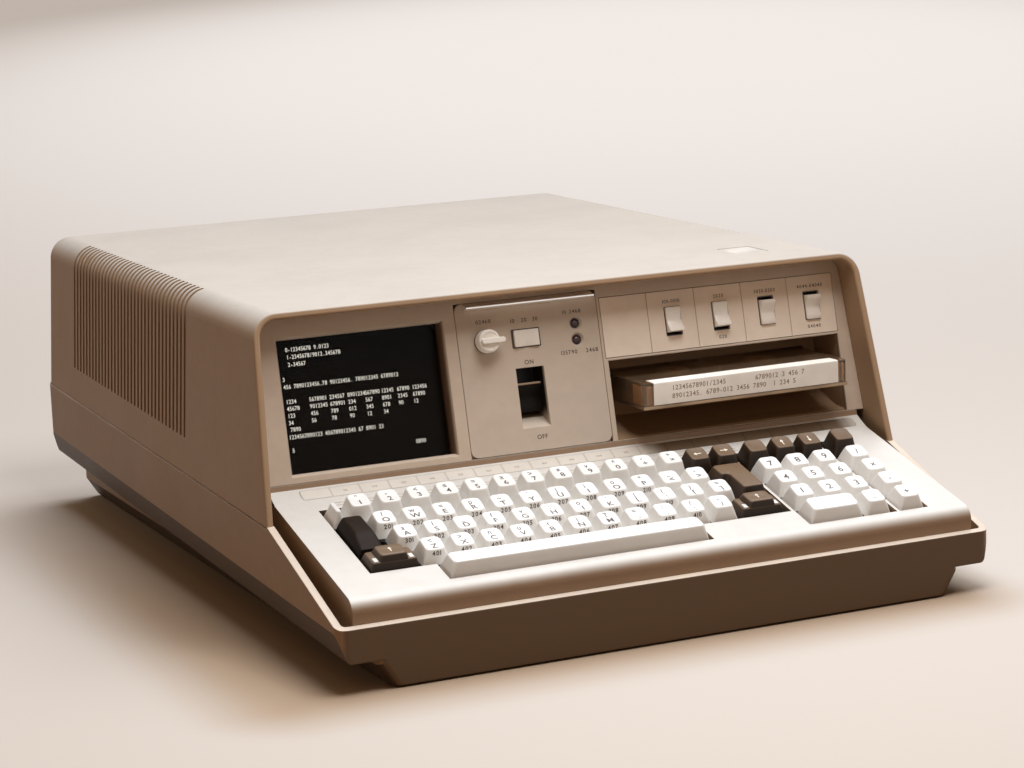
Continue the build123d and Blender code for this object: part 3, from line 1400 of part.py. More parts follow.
# ---- assembly --------------------------------------------------------------
def assembly():
    """Every node of the machine by name."""
    nodes = {
        "base_pan": base_pan(),
        "rubber_feet": rubber_feet(),
        "top_cover": top_cover(),
        "name_plate": name_plate(),
        "front_bezel": front_bezel(),
        "control_panel": control_panel(),
        "switch_panel": switch_panel(),
        "indicator_lamps": indicator_lamps(),
        "display_window": display_window(),
        "display_tube": display_tube(),
        "deflection_yoke": deflection_yoke(),
        "keyboard_deck": keyboard_deck(),
        "keyboard_plate": keyboard_plate(),
        "keyboard_board": keyboard_board(),
        "label_strip": label_strip(),
        "tape_bay": tape_bay(),
        "tape_drive_deck": tape_drive_deck(),
        "drive_motor": drive_motor(),
        "tape_head": tape_head(),
        "capstan": capstan(),
        "cartridge_base": cartridge_base(),
        "cartridge_cover": cartridge_cover(),
        "cartridge_label": cartridge_label(),
        "left_reel": reel(0),
        "right_reel": reel(1),
        "drive_roller": drive_roller(),
        "chassis_plate": chassis_plate(),
        "case_screws": case_screws(),
        "card_cage": card_cage(),
        "backplane": backplane(),
        "circuit_cards": circuit_cards(),
        "power_supply": power_supply(),
        "transformer": transformer(),
        "fan_frame": fan_frame(),
        "fan_rotor": fan_rotor(),
        "signal_connectors": signal_connectors(),
        "power_inlet": power_inlet(),
        "brightness_knob": brightness_knob(),
        "mode_switch": mode_switch(),
        "power_switch": power_switch(),
        "execute_key": execute_key(),
    }
    for index in range(len(OPTION_X)):
        nodes[f"option_switch_{index + 1}"] = option_switch(index)
    for name, spans in key_spans().items():
        nodes[name] = key_node(spans)
    return nodes


def main():
    os.makedirs("parts", exist_ok=True)
    for name, shape in assembly().items():
        export_step(shape, f"parts/{name}.step")


main()
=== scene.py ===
"""Looks of a vintage luggable computer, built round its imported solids.

Sizes in the classes are millimetres in the part's own frame: +X to the right seen
from the front, +Y to the rear, +Z up, with the origin under the middle of the case.
Mesh points are turned into metres where a piece is made.
"""

import logging
import math
from dataclasses import dataclass, field
from enum import Enum
from typing import Callable, Iterable, Optional, Sequence, Union

import bmesh
import bpy
from mathutils import Matrix, Vector


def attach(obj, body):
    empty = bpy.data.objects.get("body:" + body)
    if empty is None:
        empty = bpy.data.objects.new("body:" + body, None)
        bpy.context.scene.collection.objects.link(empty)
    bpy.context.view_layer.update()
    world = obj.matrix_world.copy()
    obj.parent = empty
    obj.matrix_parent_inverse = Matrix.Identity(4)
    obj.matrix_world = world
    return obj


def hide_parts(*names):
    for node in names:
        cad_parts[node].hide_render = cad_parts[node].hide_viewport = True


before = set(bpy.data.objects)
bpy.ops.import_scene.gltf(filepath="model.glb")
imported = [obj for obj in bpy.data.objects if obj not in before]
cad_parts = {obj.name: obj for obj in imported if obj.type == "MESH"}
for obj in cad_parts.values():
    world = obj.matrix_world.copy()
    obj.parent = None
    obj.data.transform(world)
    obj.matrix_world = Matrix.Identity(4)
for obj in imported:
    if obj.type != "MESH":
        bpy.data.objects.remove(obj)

LOG = logging.getLogger("looks")
Tone = tuple[float, float, float]          # red, green and blue as seen on screen, 0 to 255
Span = tuple[float, float]                 # lower and upper limit
Flat = tuple[float, float]                 # place on a plane
Spot = tuple[float, float, float]          # place or direction in space
Ring = tuple[float, float, float]          # inset, height and corner radius of a ring
Lay = Callable[[float, float, float], Spot]

MM = 0.001                                 # metres
SPECK = 1e-7                               # metres: shorter edges are dissolved
CREASE = 32.0                              # degrees: sharper edges stay sharp
SHORT_SIDE = 0.49                          # share of a side that one rounded corner may take
RIGHT, REAR, UP = Vector((1, 0, 0)), Vector((0, 1, 0)), Vector((0, 0, 1))


def tint(tone: Tone) -> tuple[float, float, float, float]:
    """Turns a tone as seen on screen into a shader's colour.

    Args:
        tone: Red, green and blue from 0 to 255.

    Returns:
        The linear colour, by the curve of standard screens, with full alpha.
    """
    steps = [part / 255 for part in tone]
    linear = [s / 12.92 if s <= 0.04045 else ((s + 0.055) / 1.055) ** 2.4 for s in steps]
    return (linear[0], linear[1], linear[2], 1.0)


def scaled(tone: Tone, share: float) -> Tone:
    """Tone with each part multiplied."""
    return tuple(part * share for part in tone)


def middle(span: Span) -> float:
    """Middle of a span."""
    return (span[0] + span[1]) / 2


def around(centre: float, size: float) -> Span:
    """Span of a size about a centre."""
    return (centre - size / 2, centre + size / 2)


# ---- working planes --------------------------------------------------------
@dataclass(frozen=True)
class Slope:
    """A plane tilted about the X axis, with x across, v up it and n out of it."""

    y: float
    z: float
    tilt: float

    @property
    def up(self) -> Vector:
        """Direction up the slope."""
        return Vector((0, math.cos(math.radians(self.tilt)), math.sin(math.radians(self.tilt))))

    @property
    def out(self) -> Vector:
        """Direction out of the slope."""
        return Vector((0, -math.sin(math.radians(self.tilt)), math.cos(math.radians(self.tilt))))

    def at(self, x: float, v: float, n: float = 0.0) -> Vector:
        """Point of the plane, in metres."""
        return (Vector((x, self.y, self.z)) + self.up * v + self.out * n) * MM

    def origin(self) -> Vector:
        """The plane's own origin, in metres."""
        return self.at(0.0, 0.0)


STRIP_BEHIND = 122.5                       # from the deck's front edge to the strip's, level
DECK = Slope(y=-298.5, z=53.8, tilt=14.6)
BEZEL = Slope(y=-165.0, z=88.0, tilt=78.0)
STRIP = Slope(y=DECK.y + STRIP_BEHIND, z=DECK.z + STRIP_BEHIND * math.tan(math.radians(DECK.tilt)), tilt=30.0)
LEVEL = Slope(y=0.0, z=0.0, tilt=0.0)


# ---- outlines --------------------------------------------------------------
def oblong(x: Span, v: Span) -> list[Flat]:
    """Corners of a rectangle, anticlockwise."""
    return [(x[0], v[0]), (x[1], v[0]), (x[1], v[1]), (x[0], v[1])]


def drawn_in(corners: Sequence[Flat], inset: float) -> list[Flat]:
    """Moves every side of an anticlockwise outline inwards.

    Args:
        corners: Outline whose sides meet at right angles.
        inset: Distance that each side moves.

    Returns:
        The corners of the smaller outline.
    """
    moved = []
    for i, here in enumerate(corners):
        corner = Vector(here)
        for a, b in ((corners[i - 1], here), (here, corners[(i + 1) % len(corners)])):
            run = (Vector(b) - Vector(a)).normalized()
            corner += Vector((-run.y, run.x)) * inset
        moved.append((corner.x, corner.y))
    return moved


def rounded(corners: Sequence[Flat], radius: float, steps: int = 4) -> list[Flat]:
    """Rounds the corners of an anticlockwise outline with arcs.

    Args:
        corners: Outline whose sides meet at right angles.
        radius: Radius of the arcs, made smaller where a side is too short for it.
        steps: Number of chords in each arc.

    Returns:
        The points of the rounded outline.
    """
    points = []
    for i, here in enumerate(corners):
        corner = Vector(here)
        before = corner - Vector(corners[i - 1])
        after = Vector(corners[(i + 1) % len(corners)]) - corner
        r = min(radius, before.length * SHORT_SIDE, after.length * SHORT_SIDE)
        come, go = before.normalized() * r, after.normalized() * r
        centre = corner - come + go
        for k in range(steps + 1):
            turn = math.pi / 2 * k / steps
            point = centre - go * math.cos(turn) + come * math.sin(turn)
            points.append((point.x, point.y))
    return points


def circle(x: float, v: float, radius: float, steps: int = 48) -> list[Flat]:
    """Points of a circle, anticlockwise."""
    turns = [2 * math.pi * k / steps for k in range(steps)]
    return [(x + radius * math.cos(t), v + radius * math.sin(t)) for t in turns]


def lifted(points: Iterable[Flat], n: float) -> list[Spot]:
    """Gives every point of an outline the same height."""
    return [(x, v, n) for x, v in points]


# ---- meshes ----------------------------------------------------------------
class Solid:
    """Gathers the points and faces of one piece."""

    def __init__(self, place: Callable[[float, float, float], Vector] = LEVEL.at) -> None:
        """Starts an empty piece.

        Args:
            place: Turns x, v and n into a point of the frame, in metres.
        """
        self.place = place
        self.points: list[Vector] = []
        self.faces: list[tuple[int, ...]] = []
        self.kinds: list[int] = []
        self.kind = 0

    def ring(self, points: Iterable[Spot]) -> list[int]:
        """Adds points.

        Args:
            points: The points on the piece's plane.

        Returns:
            Their numbers.
        """
        first = len(self.points)
        self.points += [self.place(*point) for point in points]
        return list(range(first, len(self.points)))

    def face(self, numbers: Iterable[int]) -> None:
        """Adds one face of the current kind."""
        self.faces.append(tuple(numbers))
        self.kinds.append(self.kind)

    def band(self, low: Sequence[int], high: Sequence[int]) -> None:
        """Joins two rings with four-sided faces.

        Args:
            low: Numbers of the lower ring.
            high: Numbers of the upper ring, as many.
        """
        for i, here in enumerate(low):
            j = (i + 1) % len(low)
            self.face((here, low[j], high[j], high[i]))

    def loft(self, rings: Sequence[Iterable[Spot]], closed: bool = True) -> list[list[int]]:
        """Skins a stack of anticlockwise rings.

        Args:
            rings: Rings from the lowest to the highest, all of one length.
            closed: Whether the lowest and the highest ring are filled.

        Returns:
            The numbers of each ring.
        """
        loops = [self.ring(points) for points in rings]
        for low, high in zip(loops, loops[1:]):
            self.band(low, high)
        if closed:
            self.face(reversed(loops[0]))
            self.face(loops[-1])
        return loops

    def tower(self, corners: Sequence[Flat], rings: Iterable[Ring]) -> None:
        """Skins rings that are drawn in from one right-angled outline, from the lowest upwards."""
        self.loft([lifted(rounded(drawn_in(corners, inset), radius), n) for inset, n, radius in rings])

    def slab(self, corners: Sequence[Flat], n: Span, radius: float = 0.5, edge: float = 0.0) -> None:
        """Adds a plate with rounded corners and, if asked, softened upper edges.

        Args:
            corners: Right-angled outline, anticlockwise.
            n: Heights of the lower and the upper face.
            radius: Radius of the corners.
            edge: Size of the bevel round the upper face.
        """
        outline = rounded(corners, radius)
        rings = [lifted(outline, n[0]), lifted(outline, n[1] - edge)]
        if edge:
            small = rounded(drawn_in(corners, edge), max(radius - edge, 0.1))
            rings.append(lifted(small, n[1]))
        self.loft(rings)

    def block(self, x: Span, v: Span, n: Span) -> None:
        """Adds a plain box between limits, for stems out of sight."""
        self.loft([lifted(oblong(x, v), n[0]), lifted(oblong(x, v), n[1])])

    def turned(self, x: float, v: float, outline: Sequence[Flat], steps: int = 48) -> None:
        """Adds a round piece about an axis at x and v, from pairs of radius and height upwards."""
        self.loft([lifted(circle(x, v, max(r, 0.02), steps), n) for r, n in outline])

    def stamp(self, glyph: "Glyph", lay: Lay) -> None:
        """Adds a character whose points are laid on a surface.

        Args:
            glyph: The character, one unit high, half a unit thick each way.
            lay: Turns the character's x, y and z into a point of the plane.
        """
        numbers = self.ring(lay(*point) for point in glyph.points)
        for face in glyph.faces:
            self.face(numbers[i] for i in face)

    def build(self, name: str, body: str, *finishes: "Finish", crease: float = CREASE) -> bpy.types.Object:
        """Makes the object and lets it ride on a body.

        Args:
            name: Name of the piece.
            body: Body of the frame that it moves with.
            finishes: A finish for each kind of face, in order.
            crease: Edges sharper than this many degrees stay sharp.

        Returns:
            The finished object.
        """
        mesh = bpy.data.meshes.new(name)
        mesh.from_pydata([tuple(p) for p in self.points], [], self.faces)
        for finish in finishes:
            mesh.materials.append(finish.material())
        mesh.polygons.foreach_set("material_index", self.kinds)
        tidy = bmesh.new()
        tidy.from_mesh(mesh)
        bmesh.ops.dissolve_degenerate(tidy, dist=SPECK, edges=tidy.edges)
        bmesh.ops.recalc_face_normals(tidy, faces=tidy.faces)
        tidy.to_mesh(mesh)
        tidy.free()
        mesh.shade_smooth()
        mesh.set_sharp_from_angle(angle=math.radians(crease))
        piece = bpy.data.objects.new(name, mesh)
        bpy.context.scene.collection.objects.link(piece)
        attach(piece, body)
        LOG.info("%s: %d faces, rides on %s", name, len(mesh.polygons), body)
        return piece


@dataclass(frozen=True)
class Glyph:
    """One character as a thin closed solid, one unit high."""

    points: list[Spot]
    faces: list[tuple[int, ...]]
    width: float


@dataclass
class Lettering:
    """Cuts plain characters from the built-in typeface and sets them in lines."""

    capital: float = 0.73                  # height of the typeface's capitals at size 1
    heavier: float = 0.016                 # how far the strokes are widened
    blank: float = 0.5                     # width of a blank
    apart: float = 0.22                    # gap between characters
    weld: float = 1e-4                     # points nearer than this are joined
    cut: dict[str, Glyph] = field(default_factory=dict)

    def glyph(self, sign: str) -> Glyph:
        """Cuts a character when it is first asked for.

        Args:
            sign: A character, or the name of an arrow.

        Returns:
            The character.
        """
        if sign not in self.cut:
            self.cut[sign] = arrow(sign) if sign in ARROWS else self._from_typeface(sign)
        return self.cut[sign]

    def _from_typeface(self, sign: str) -> Glyph:
        """Cuts one character from the typeface.

        Args:
            sign: The character.

        Returns:
            The character, centred, with digits and capitals one unit high.
        """
        curve = bpy.data.curves.new("sign", "FONT")
        curve.body = sign
        curve.size = 1.0 / self.capital
        curve.extrude = 0.5
        curve.offset = self.heavier
        curve.resolution_u = 3
        holder = bpy.data.objects.new("sign", curve)
        bpy.context.scene.collection.objects.link(holder)
        view = bpy.context.evaluated_depsgraph_get()
        mesh = bpy.data.meshes.new_from_object(holder.evaluated_get(view))
        tidy = bmesh.new()
        tidy.from_mesh(mesh)
        bmesh.ops.remove_doubles(tidy, verts=tidy.verts, dist=self.weld)
        tidy.verts.ensure_lookup_table()
        points = [tuple(v.co) for v in tidy.verts]
        faces = [tuple(v.index for v in face.verts) for face in tidy.faces]
        tidy.free()
        bpy.data.objects.remove(holder)
        bpy.data.curves.remove(curve)
        bpy.data.meshes.remove(mesh)
        if not points:
            return Glyph([], [], self.blank)
        left = min(p[0] for p in points)
        right = max(p[0] for p in points)
        centre = (left + right) / 2
        return Glyph([(x - centre, y - 0.5, z) for x, y, z in points], faces, right - left)

    def line(self, solid: Solid, text: str, height: float, at: Flat, lay: Lay, thick: float = 0.08,
             pitch: Optional[float] = None, squeeze: float = 1.0) -> None:
        """Sets a centred line of characters on a surface.

        Args:
            solid: Piece that takes the characters.
            text: The line, where a blank leaves a gap.
            height: Height of a capital.
            at: Middle of the line.
            lay: Turns x, v and lift into a point of the piece's plane.
            thick: Thickness of the characters, half of it sunk in.
            pitch: Advance of every character, or None for the typeface's own.
            squeeze: Share of a character's width that is kept.
        """
        glyphs = [None if sign == " " else self.glyph(sign) for sign in text]
        gap = height * self.apart
        steps = [pitch or (height * (g.width if g else self.blank) + gap) for g in glyphs]
        cursor = at[0] - (sum(steps) - (0 if pitch else gap)) / 2
        for glyph, step in zip(glyphs, steps):
            half = step / 2 if pitch else (step - gap) / 2
            centre = cursor + half
            cursor += step
            if glyph is None or not glyph.points:
                continue

            def laid(x: float, y: float, z: float, c: float = centre) -> Spot:
                """Places one point of the character."""
                return lay(c + x * height * squeeze, at[1] + y * height, z * thick)

            solid.stamp(glyph, laid)


ARROWS = {"<-": 180.0, "->": 0.0, "up": 90.0, "dn": -90.0}
ARROW_OUTLINE = (
    (-0.5, -0.06), (0.12, -0.06), (0.12, -0.24), (0.5, 0.0), (0.12, 0.24), (0.12, 0.06), (-0.5, 0.06),
)


def arrow(sign: str) -> Glyph:
    """Makes a plain arrow.

    Args:
        sign: One of the names in ARROWS.

    Returns:
        The arrow as a closed solid, one unit long.
    """
    turn = math.radians(ARROWS[sign])
    flat = [
        (x * math.cos(turn) - y * math.sin(turn), x * math.sin(turn) + y * math.cos(turn))
        for x, y in ARROW_OUTLINE
    ]
    count = len(flat)
    points = [(x, y, -0.5) for x, y in flat] + [(x, y, 0.5) for x, y in flat]
    sides = [(i, (i + 1) % count, (i + 1) % count + count, i + count) for i in range(count)]
    faces = [tuple(reversed(range(count))), tuple(range(count, 2 * count))] + sides
    return Glyph(points, faces, 1.0)


LETTERS = Lettering()


# ---- shader maths ----------------------------------------------------------
class Signal:
    """One output in a finish's nodes, which takes part in Python expressions."""

    def __init__(self, recipe: "Recipe", socket: bpy.types.NodeSocket) -> None:
        """Wraps an output socket of a recipe."""
        self.recipe = recipe
        self.socket = socket

    def _math(self, operation: str, *terms: "Term") -> "Signal":
        """Adds a Math node on the terms."""
        return self.recipe.node("ShaderNodeMath", {"operation": operation}, dict(enumerate(terms)))

    def __add__(self, other: "Term") -> "Signal":
        """Sum."""
        return self._math("ADD", self, other)

    __radd__ = __add__

    def __sub__(self, other: "Term") -> "Signal":
        """Difference."""
        return self._math("SUBTRACT", self, other)

    def __rsub__(self, other: "Term") -> "Signal":
        """Difference from a number."""
        return self._math("SUBTRACT", other, self)

    def __mul__(self, other: "Term") -> "Signal":
        """Product."""
        return self._math("MULTIPLY", self, other)

    __rmul__ = __mul__

    def __abs__(self) -> "Signal":
        """Size without sign."""
        return self._math("ABSOLUTE", self)

    def sine(self) -> "Signal":
        """Sine of an angle in radians."""
        return self._math("SINE", self)

    def between(self, low: float, high: float) -> "Signal":
        """Turns the value into a mask.

        Args:
            low: Value at which the mask is 0, which may be the higher of the two.
            high: Value at which it is 1.

        Returns:
            The mask, which rises or falls smoothly between the two.
        """
        settings = {"interpolation_type": "SMOOTHSTEP"}
        limits = {"Value": self, "From Min": low, "From Max": high}
        return self.recipe.node("ShaderNodeMapRange", settings, limits)


Term = Union[Signal, float]


class Recipe:
    """The nodes of one material or of the world."""

    def __init__(self, holder: Union[bpy.types.Material, bpy.types.World]) -> None:
        """Starts from the nodes that a material or the world has."""
        holder.use_nodes = True
        self.tree = holder.node_tree

    def node(self, kind: str, settings: Optional[dict] = None, inputs: Optional[dict] = None,
             output: Union[int, str] = 0) -> Signal:
        """Adds one node.

        Args:
            kind: Type of the node.
            settings: Its own settings, which are set first.
            inputs: Values or links of its sockets, by name or number.
            output: The output that is returned.

        Returns:
            The chosen output.
        """
        made = self.tree.nodes.new(kind)
        for key, value in (settings or {}).items():
            setattr(made, key, value)
        for key, value in (inputs or {}).items():
            self.feed(made.inputs[key], value)
        return Signal(self, made.outputs[output])

    def feed(self, socket: bpy.types.NodeSocket, value: object) -> None:
        """Links a signal to a socket, or sets the socket's own value.

        Args:
            socket: Input that is fed.
            value: A signal or a constant.
        """
        if isinstance(value, Signal):
            self.tree.links.new(value.socket, socket)
        else:
            socket.default_value = value

    def surface(self, **values: object) -> None:
        """Feeds the material's shader.

        Args:
            values: Signals or constants for its sockets, named with _ for a blank.
        """
        shader = self.tree.nodes["Principled BSDF"]
        for key, value in values.items():
            self.feed(shader.inputs[key.replace("_", " ")], value)

    def vector(self, operation: str, *terms: object) -> Signal:
        """Adds a Vector Math node, and takes its number where it gives one."""
        output = "Value" if operation in ("DOT_PRODUCT", "LENGTH") else "Vector"
        return self.node("ShaderNodeVectorMath", {"operation": operation}, dict(enumerate(terms)), output)

    def place(self) -> Signal:
        """Where a point lies on the piece at rest, in metres."""
        return self.node("ShaderNodeTexCoord", output="Object")

    def facing(self, direction: Vector) -> Signal:
        """How far the surface faces a direction, from -1 to 1."""
        return self.vector("DOT_PRODUCT", self.node("ShaderNodeTexCoord", output="Normal"), direction)

    def offset(self, a: Signal, b: Vector) -> Signal:
        """Vector from a point to a position."""
        return self.vector("SUBTRACT", a, b)

    def stretched(self, a: Signal, b: Vector) -> Signal:
        """Vector with each part multiplied."""
        return self.vector("MULTIPLY", a, b)

    def along(self, slope: Slope, axis: str) -> Signal:
        """Distance across (x), up (v) or out of (n) a slope, in millimetres."""
        way = {"x": RIGHT, "v": slope.up, "n": slope.out}[axis]
        return self.vector("DOT_PRODUCT", self.offset(self.place(), slope.origin()), way) * (1 / MM)

    def noise(self, size: float, detail: float = 3.0, spot: Optional[Signal] = None) -> Signal:
        """Noise from 0 to 1 with features of a size in millimetres."""
        inputs = {"Vector": spot or self.place(), "Scale": 1 / (size * MM), "Detail": detail}
        return self.node("ShaderNodeTexNoise", {}, inputs)

    def mix(self, mask: Term, low: object, high: object) -> Signal:
        """Colour that goes from low to high with a mask."""
        settings = {"data_type": "RGBA", "blend_type": "MIX"}
        return self.node("ShaderNodeMix", settings, {0: mask, 6: low, 7: high}, 2)

    def bump(self, height: Signal, relief: float, normal: Optional[Signal] = None) -> Signal:
        """Turns a height into a normal.

        Args:
            height: Height from 0 to 1.
            relief: What a height of 1 stands for, in millimetres.
            normal: Normal that the relief is added to, if it isn't the surface's own.

        Returns:
            The normal of the surface with its relief.
        """
        inputs = {"Height": height, "Distance": relief * MM, "Strength": 1.0}
        if normal:
            inputs["Normal"] = normal
        return self.node("ShaderNodeBump", {}, inputs)

    def soft_edges(self, radius: float) -> Signal:
        """Normal that rounds the edges by a radius in millimetres."""
        return self.node("ShaderNodeBevel", {"samples": 4}, {"Radius": radius * MM})

    def edge_mask(self, soft: Signal) -> Signal:
        """Finds where the softened normal leaves the true one: 1 on an edge, 0 on a flat."""
        true = self.node("ShaderNodeNewGeometry", output="Normal")
        return (1 - self.vector("DOT_PRODUCT", soft, true)).between(0.02, 0.3)


# ---- finishes --------------------------------------------------------------
@dataclass(frozen=True)
class Finish:
    """A surface finish, made into one material when it is first used."""

    name: str

    def mixed(self, recipe: Recipe) -> None:
        """Adds the finish's nodes to a recipe."""
        raise NotImplementedError

    def material(self) -> bpy.types.Material:
        """Makes the material when it is first asked for.

        Returns:
            The finish's material.
        """
        found = bpy.data.materials.get(self.name)
        if found is None:
            found = bpy.data.materials.new(self.name)
            self.mixed(Recipe(found))
        return found


@dataclass(frozen=True)
class Moulded(Finish):
    """Moulded plastic or textured paint with a fine grain, softened edges and painted shade on walls and
    undersides where their tones are given.
    """

    tone: Tone = (200.0, 190.0, 180.0)
    wall_shade: Optional[Tone] = None           # tone of the painted shade on the walls
    under: Optional[Tone] = None           # tone of the painted shade on what faces down
    rough: float = 0.5
    shine: float = 0.5
    grain: float = 1.4                     # size of the grain
    relief: float = 0.02                   # depth of the grain
    drift: float = 0.08                    # how much darker the patches are
    cloud: float = 70.0                    # size of the broad patches
    mottle: float = 9.0                    # size of the small patches
    edge: float = 0.6                      # radius that softens the edges
    edge_wear_and_highlight: float = 0.25                     # how far the edges are painted paler, partly as wear and partly as a painted highlight

    def colour(self, recipe: Recipe) -> Signal:
        """Mixes the colour and its painted shade, before the paler edges of wear and painted highlight.

        Args:
            recipe: The material's nodes.

        Returns:
            The colour, with painted shade on walls and undersides where their tones are given.
        """
        cloud = recipe.noise(self.cloud, 2.0) * 0.6 + recipe.noise(self.mottle, 3.0) * 0.4
        patches = cloud.between(0.3, 0.7)
        shade = recipe.mix(patches, tint(self.tone), tint(scaled(self.tone, 1 - self.drift)))
        # painted shade: walls take a darker tone than faces that look up
        if self.wall_shade:
            wall = recipe.mix(patches, tint(self.wall_shade), tint(scaled(self.wall_shade, 1 - self.drift)))
            shade = recipe.mix(recipe.facing(UP).between(0.15, 0.85), wall, shade)
        # painted shade: faces that look down take a darker tone
        if self.under:
            shade = recipe.mix(recipe.facing(-UP).between(0.1, 0.32), shade, tint(self.under))
        return shade

    def mixed(self, recipe: Recipe) -> None:
        """Adds grain, drift, softened edges and paler edges that are partly wear and partly a painted
        highlight.

        Args:
            recipe: The material's nodes.
        """
        shade = self.colour(recipe)
        fine = recipe.noise(self.grain, 2.0)
        soft = recipe.soft_edges(self.edge) if self.edge else None
        # paler edges: partly wear, partly a painted highlight along the edges
        if soft and self.edge_wear_and_highlight:
            pale_edge = tuple(min(part * 1.25 + 12, 250) for part in self.tone)
            shade = recipe.mix(recipe.edge_mask(soft) * self.edge_wear_and_highlight, shade, tint(pale_edge))
        recipe.surface(
            Base_Color=shade,
            Roughness=(fine - 0.5) * 0.2 + recipe.noise(40.0, 2.0) * 0.1 + (self.rough - 0.05),
            Normal=recipe.bump(fine, self.relief, soft),
            Specular_IOR_Level=self.shine,
        )


@dataclass(frozen=True)
class Polished(Moulded):
    """Smooth plastic of keys and knobs, whose edges are rounded in the mesh."""

    grain: float = 0.8
    relief: float = 0.006
    edge: float = 0.0
    edge_wear_and_highlight: float = 0.0


@dataclass(frozen=True)
class Fronted(Moulded):
    """Moulded finish with a painted shade on the upright walls at the front."""

    # tone of the painted shade on the front walls
    front_shade: Tone = (108.0, 87.0, 66.0)

    def colour(self, recipe: Recipe) -> Signal:
        """Colour with the painted shade on the front wall."""
        ahead = recipe.facing(-REAR).between(0.8, 0.99)
        return recipe.mix(ahead, super().colour(recipe), tint(self.front_shade))


@dataclass(frozen=True)
class Hooded(Moulded):
    """Cover paint with painted shade on the walls inside the hood and on its underside."""

    # tone of the painted shade inside the hood
    inner: Tone = (158.0, 129.0, 101.0)
    reach: Span = (-0.1, -0.19)            # metres across, times how far a wall faces right

    def colour(self, recipe: Recipe) -> Signal:
        """Mixes the colour with painted shade on the inner walls and underside.

        Args:
            recipe: The material's nodes.

        Returns:
            The colour.
        """
        inward = recipe.facing(RIGHT) * recipe.vector("DOT_PRODUCT", recipe.place(), RIGHT)
        # painted shade: walls inside the hood and faces that look down
        inside = inward.between(*self.reach) + recipe.facing(-UP).between(0.2, 0.6)
        return recipe.mix(inside, super().colour(recipe), tint(self.inner))


@dataclass(frozen=True)
class UnderBay(Moulded):
    """Plastic with a painted shadow of the cartridge and bay along the stretch under the tape bay."""

    # tone of the painted shadow that the cartridge and bay cast
    deep: Tone = (88.0, 71.0, 54.0)
    starts: Span = (40.0, 62.0)
    ends: Span = (208.0, 190.0)

    def colour(self, recipe: Recipe) -> Signal:
        """Mixes the colour with the painted shadow along the stretch.

        Args:
            recipe: The material's nodes.

        Returns:
            The colour.
        """
        x = recipe.along(STRIP, "x")
        stretch = x.between(*self.starts) * x.between(*self.ends)
        return recipe.mix(stretch, super().colour(recipe), tint(self.deep))


@dataclass(frozen=True)
class Recessed(Moulded):
    """Moulded part of the bezel with painted shade in the recesses behind its face."""

    # tone of the painted shade in the recesses
    well_shade: Tone = (40.0, 30.0, 22.0)
    depth: Span = (-1.5, -6.0)             # heights at which the painted shade starts and is full
    foot: Optional[Span] = None            # heights up the face from which the painted shade counts
    shaded: bool = False                   # whether the painted shade lies only on walls that face left
    proud: Optional[Tone] = None           # tone of bright metal that stands out of the face
    out: Span = (0.3, 0.9)                 # heights at which that metal starts and is full

    def colour(self, recipe: Recipe) -> Signal:
        """Mixes the panel's colour with the painted shade of its wells.

        Args:
            recipe: The material's nodes.

        Returns:
            The colour, which leaves the painted shade off the lit foot of a recess.
        """
        shade = super().colour(recipe)
        # painted shade, darker towards the back of a recess
        sunk = recipe.along(BEZEL, "n").between(*self.depth)
        if self.shaded:
            sunk = sunk * recipe.facing(-RIGHT).between(0.35, 0.85)
        if self.foot:
            sunk = sunk * recipe.along(BEZEL, "v").between(*self.foot)
        shade = recipe.mix(sunk, shade, tint(self.well_shade))
        if self.proud:
            shade = recipe.mix(recipe.along(BEZEL, "n").between(*self.out), shade, tint(self.proud))
        return shade

    def mixed(self, recipe: Recipe) -> None:
        """Adds bright metal where something stands proud of the panel.

        Args:
            recipe: The material's nodes.
        """
        super().mixed(recipe)
        if self.proud:
            recipe.surface(Metallic=recipe.along(BEZEL, "n").between(*self.out))


@dataclass(frozen=True)
class Metal(Finish):
    """Metal with fine marks along one direction."""

    tone: Tone = (170.0, 165.0, 160.0)
    rough: float = 0.35
    brushed: Spot = (0.04, 1.0, 1.0)       # how the marks are drawn out along x, y and z
    relief: float = 0.01
    edge: float = 0.3
    bare: float = 1.0                      # how far the metal shows through its coat

    def mixed(self, recipe: Recipe) -> None:
        """Adds drawn-out marks, stains and softened edges.

        Args:
            recipe: The material's nodes.
        """
        marks = recipe.noise(0.8, 3.0, recipe.stretched(recipe.place(), Vector(self.brushed)))
        stain = recipe.noise(25.0, 4.0)
        recipe.surface(
            Base_Color=recipe.mix(stain.between(0.35, 0.75), tint(self.tone), tint(scaled(self.tone, 0.8))),
            Metallic=self.bare,
            Roughness=(marks - 0.5) * 0.25 + stain * 0.12 + (self.rough - 0.06),
            Normal=recipe.bump(marks, self.relief, recipe.soft_edges(self.edge)),
        )


@dataclass(frozen=True)
class Clear(Finish):
    """Clear or smoked plastic or glass."""

    tone: Tone = (120.0, 100.0, 80.0)
    through: float = 0.9
    alpha: float = 1.0
    rough: float = 0.06
    index: float = 1.49

    def mixed(self, recipe: Recipe) -> None:
        """Adds faint smears to a clear surface.

        Args:
            recipe: The material's nodes.
        """
        smear = recipe.noise(14.0, 4.0)
        recipe.surface(
            Base_Color=recipe.mix(smear * 0.25, tint(self.tone), tint(scaled(self.tone, 0.85))),
            Roughness=smear.between(0.45, 0.8) * 0.08 + self.rough,
            Transmission_Weight=self.through,
            Alpha=self.alpha,
            IOR=self.index,
            Normal=recipe.bump(recipe.noise(5.0, 2.0), 0.004),
        )


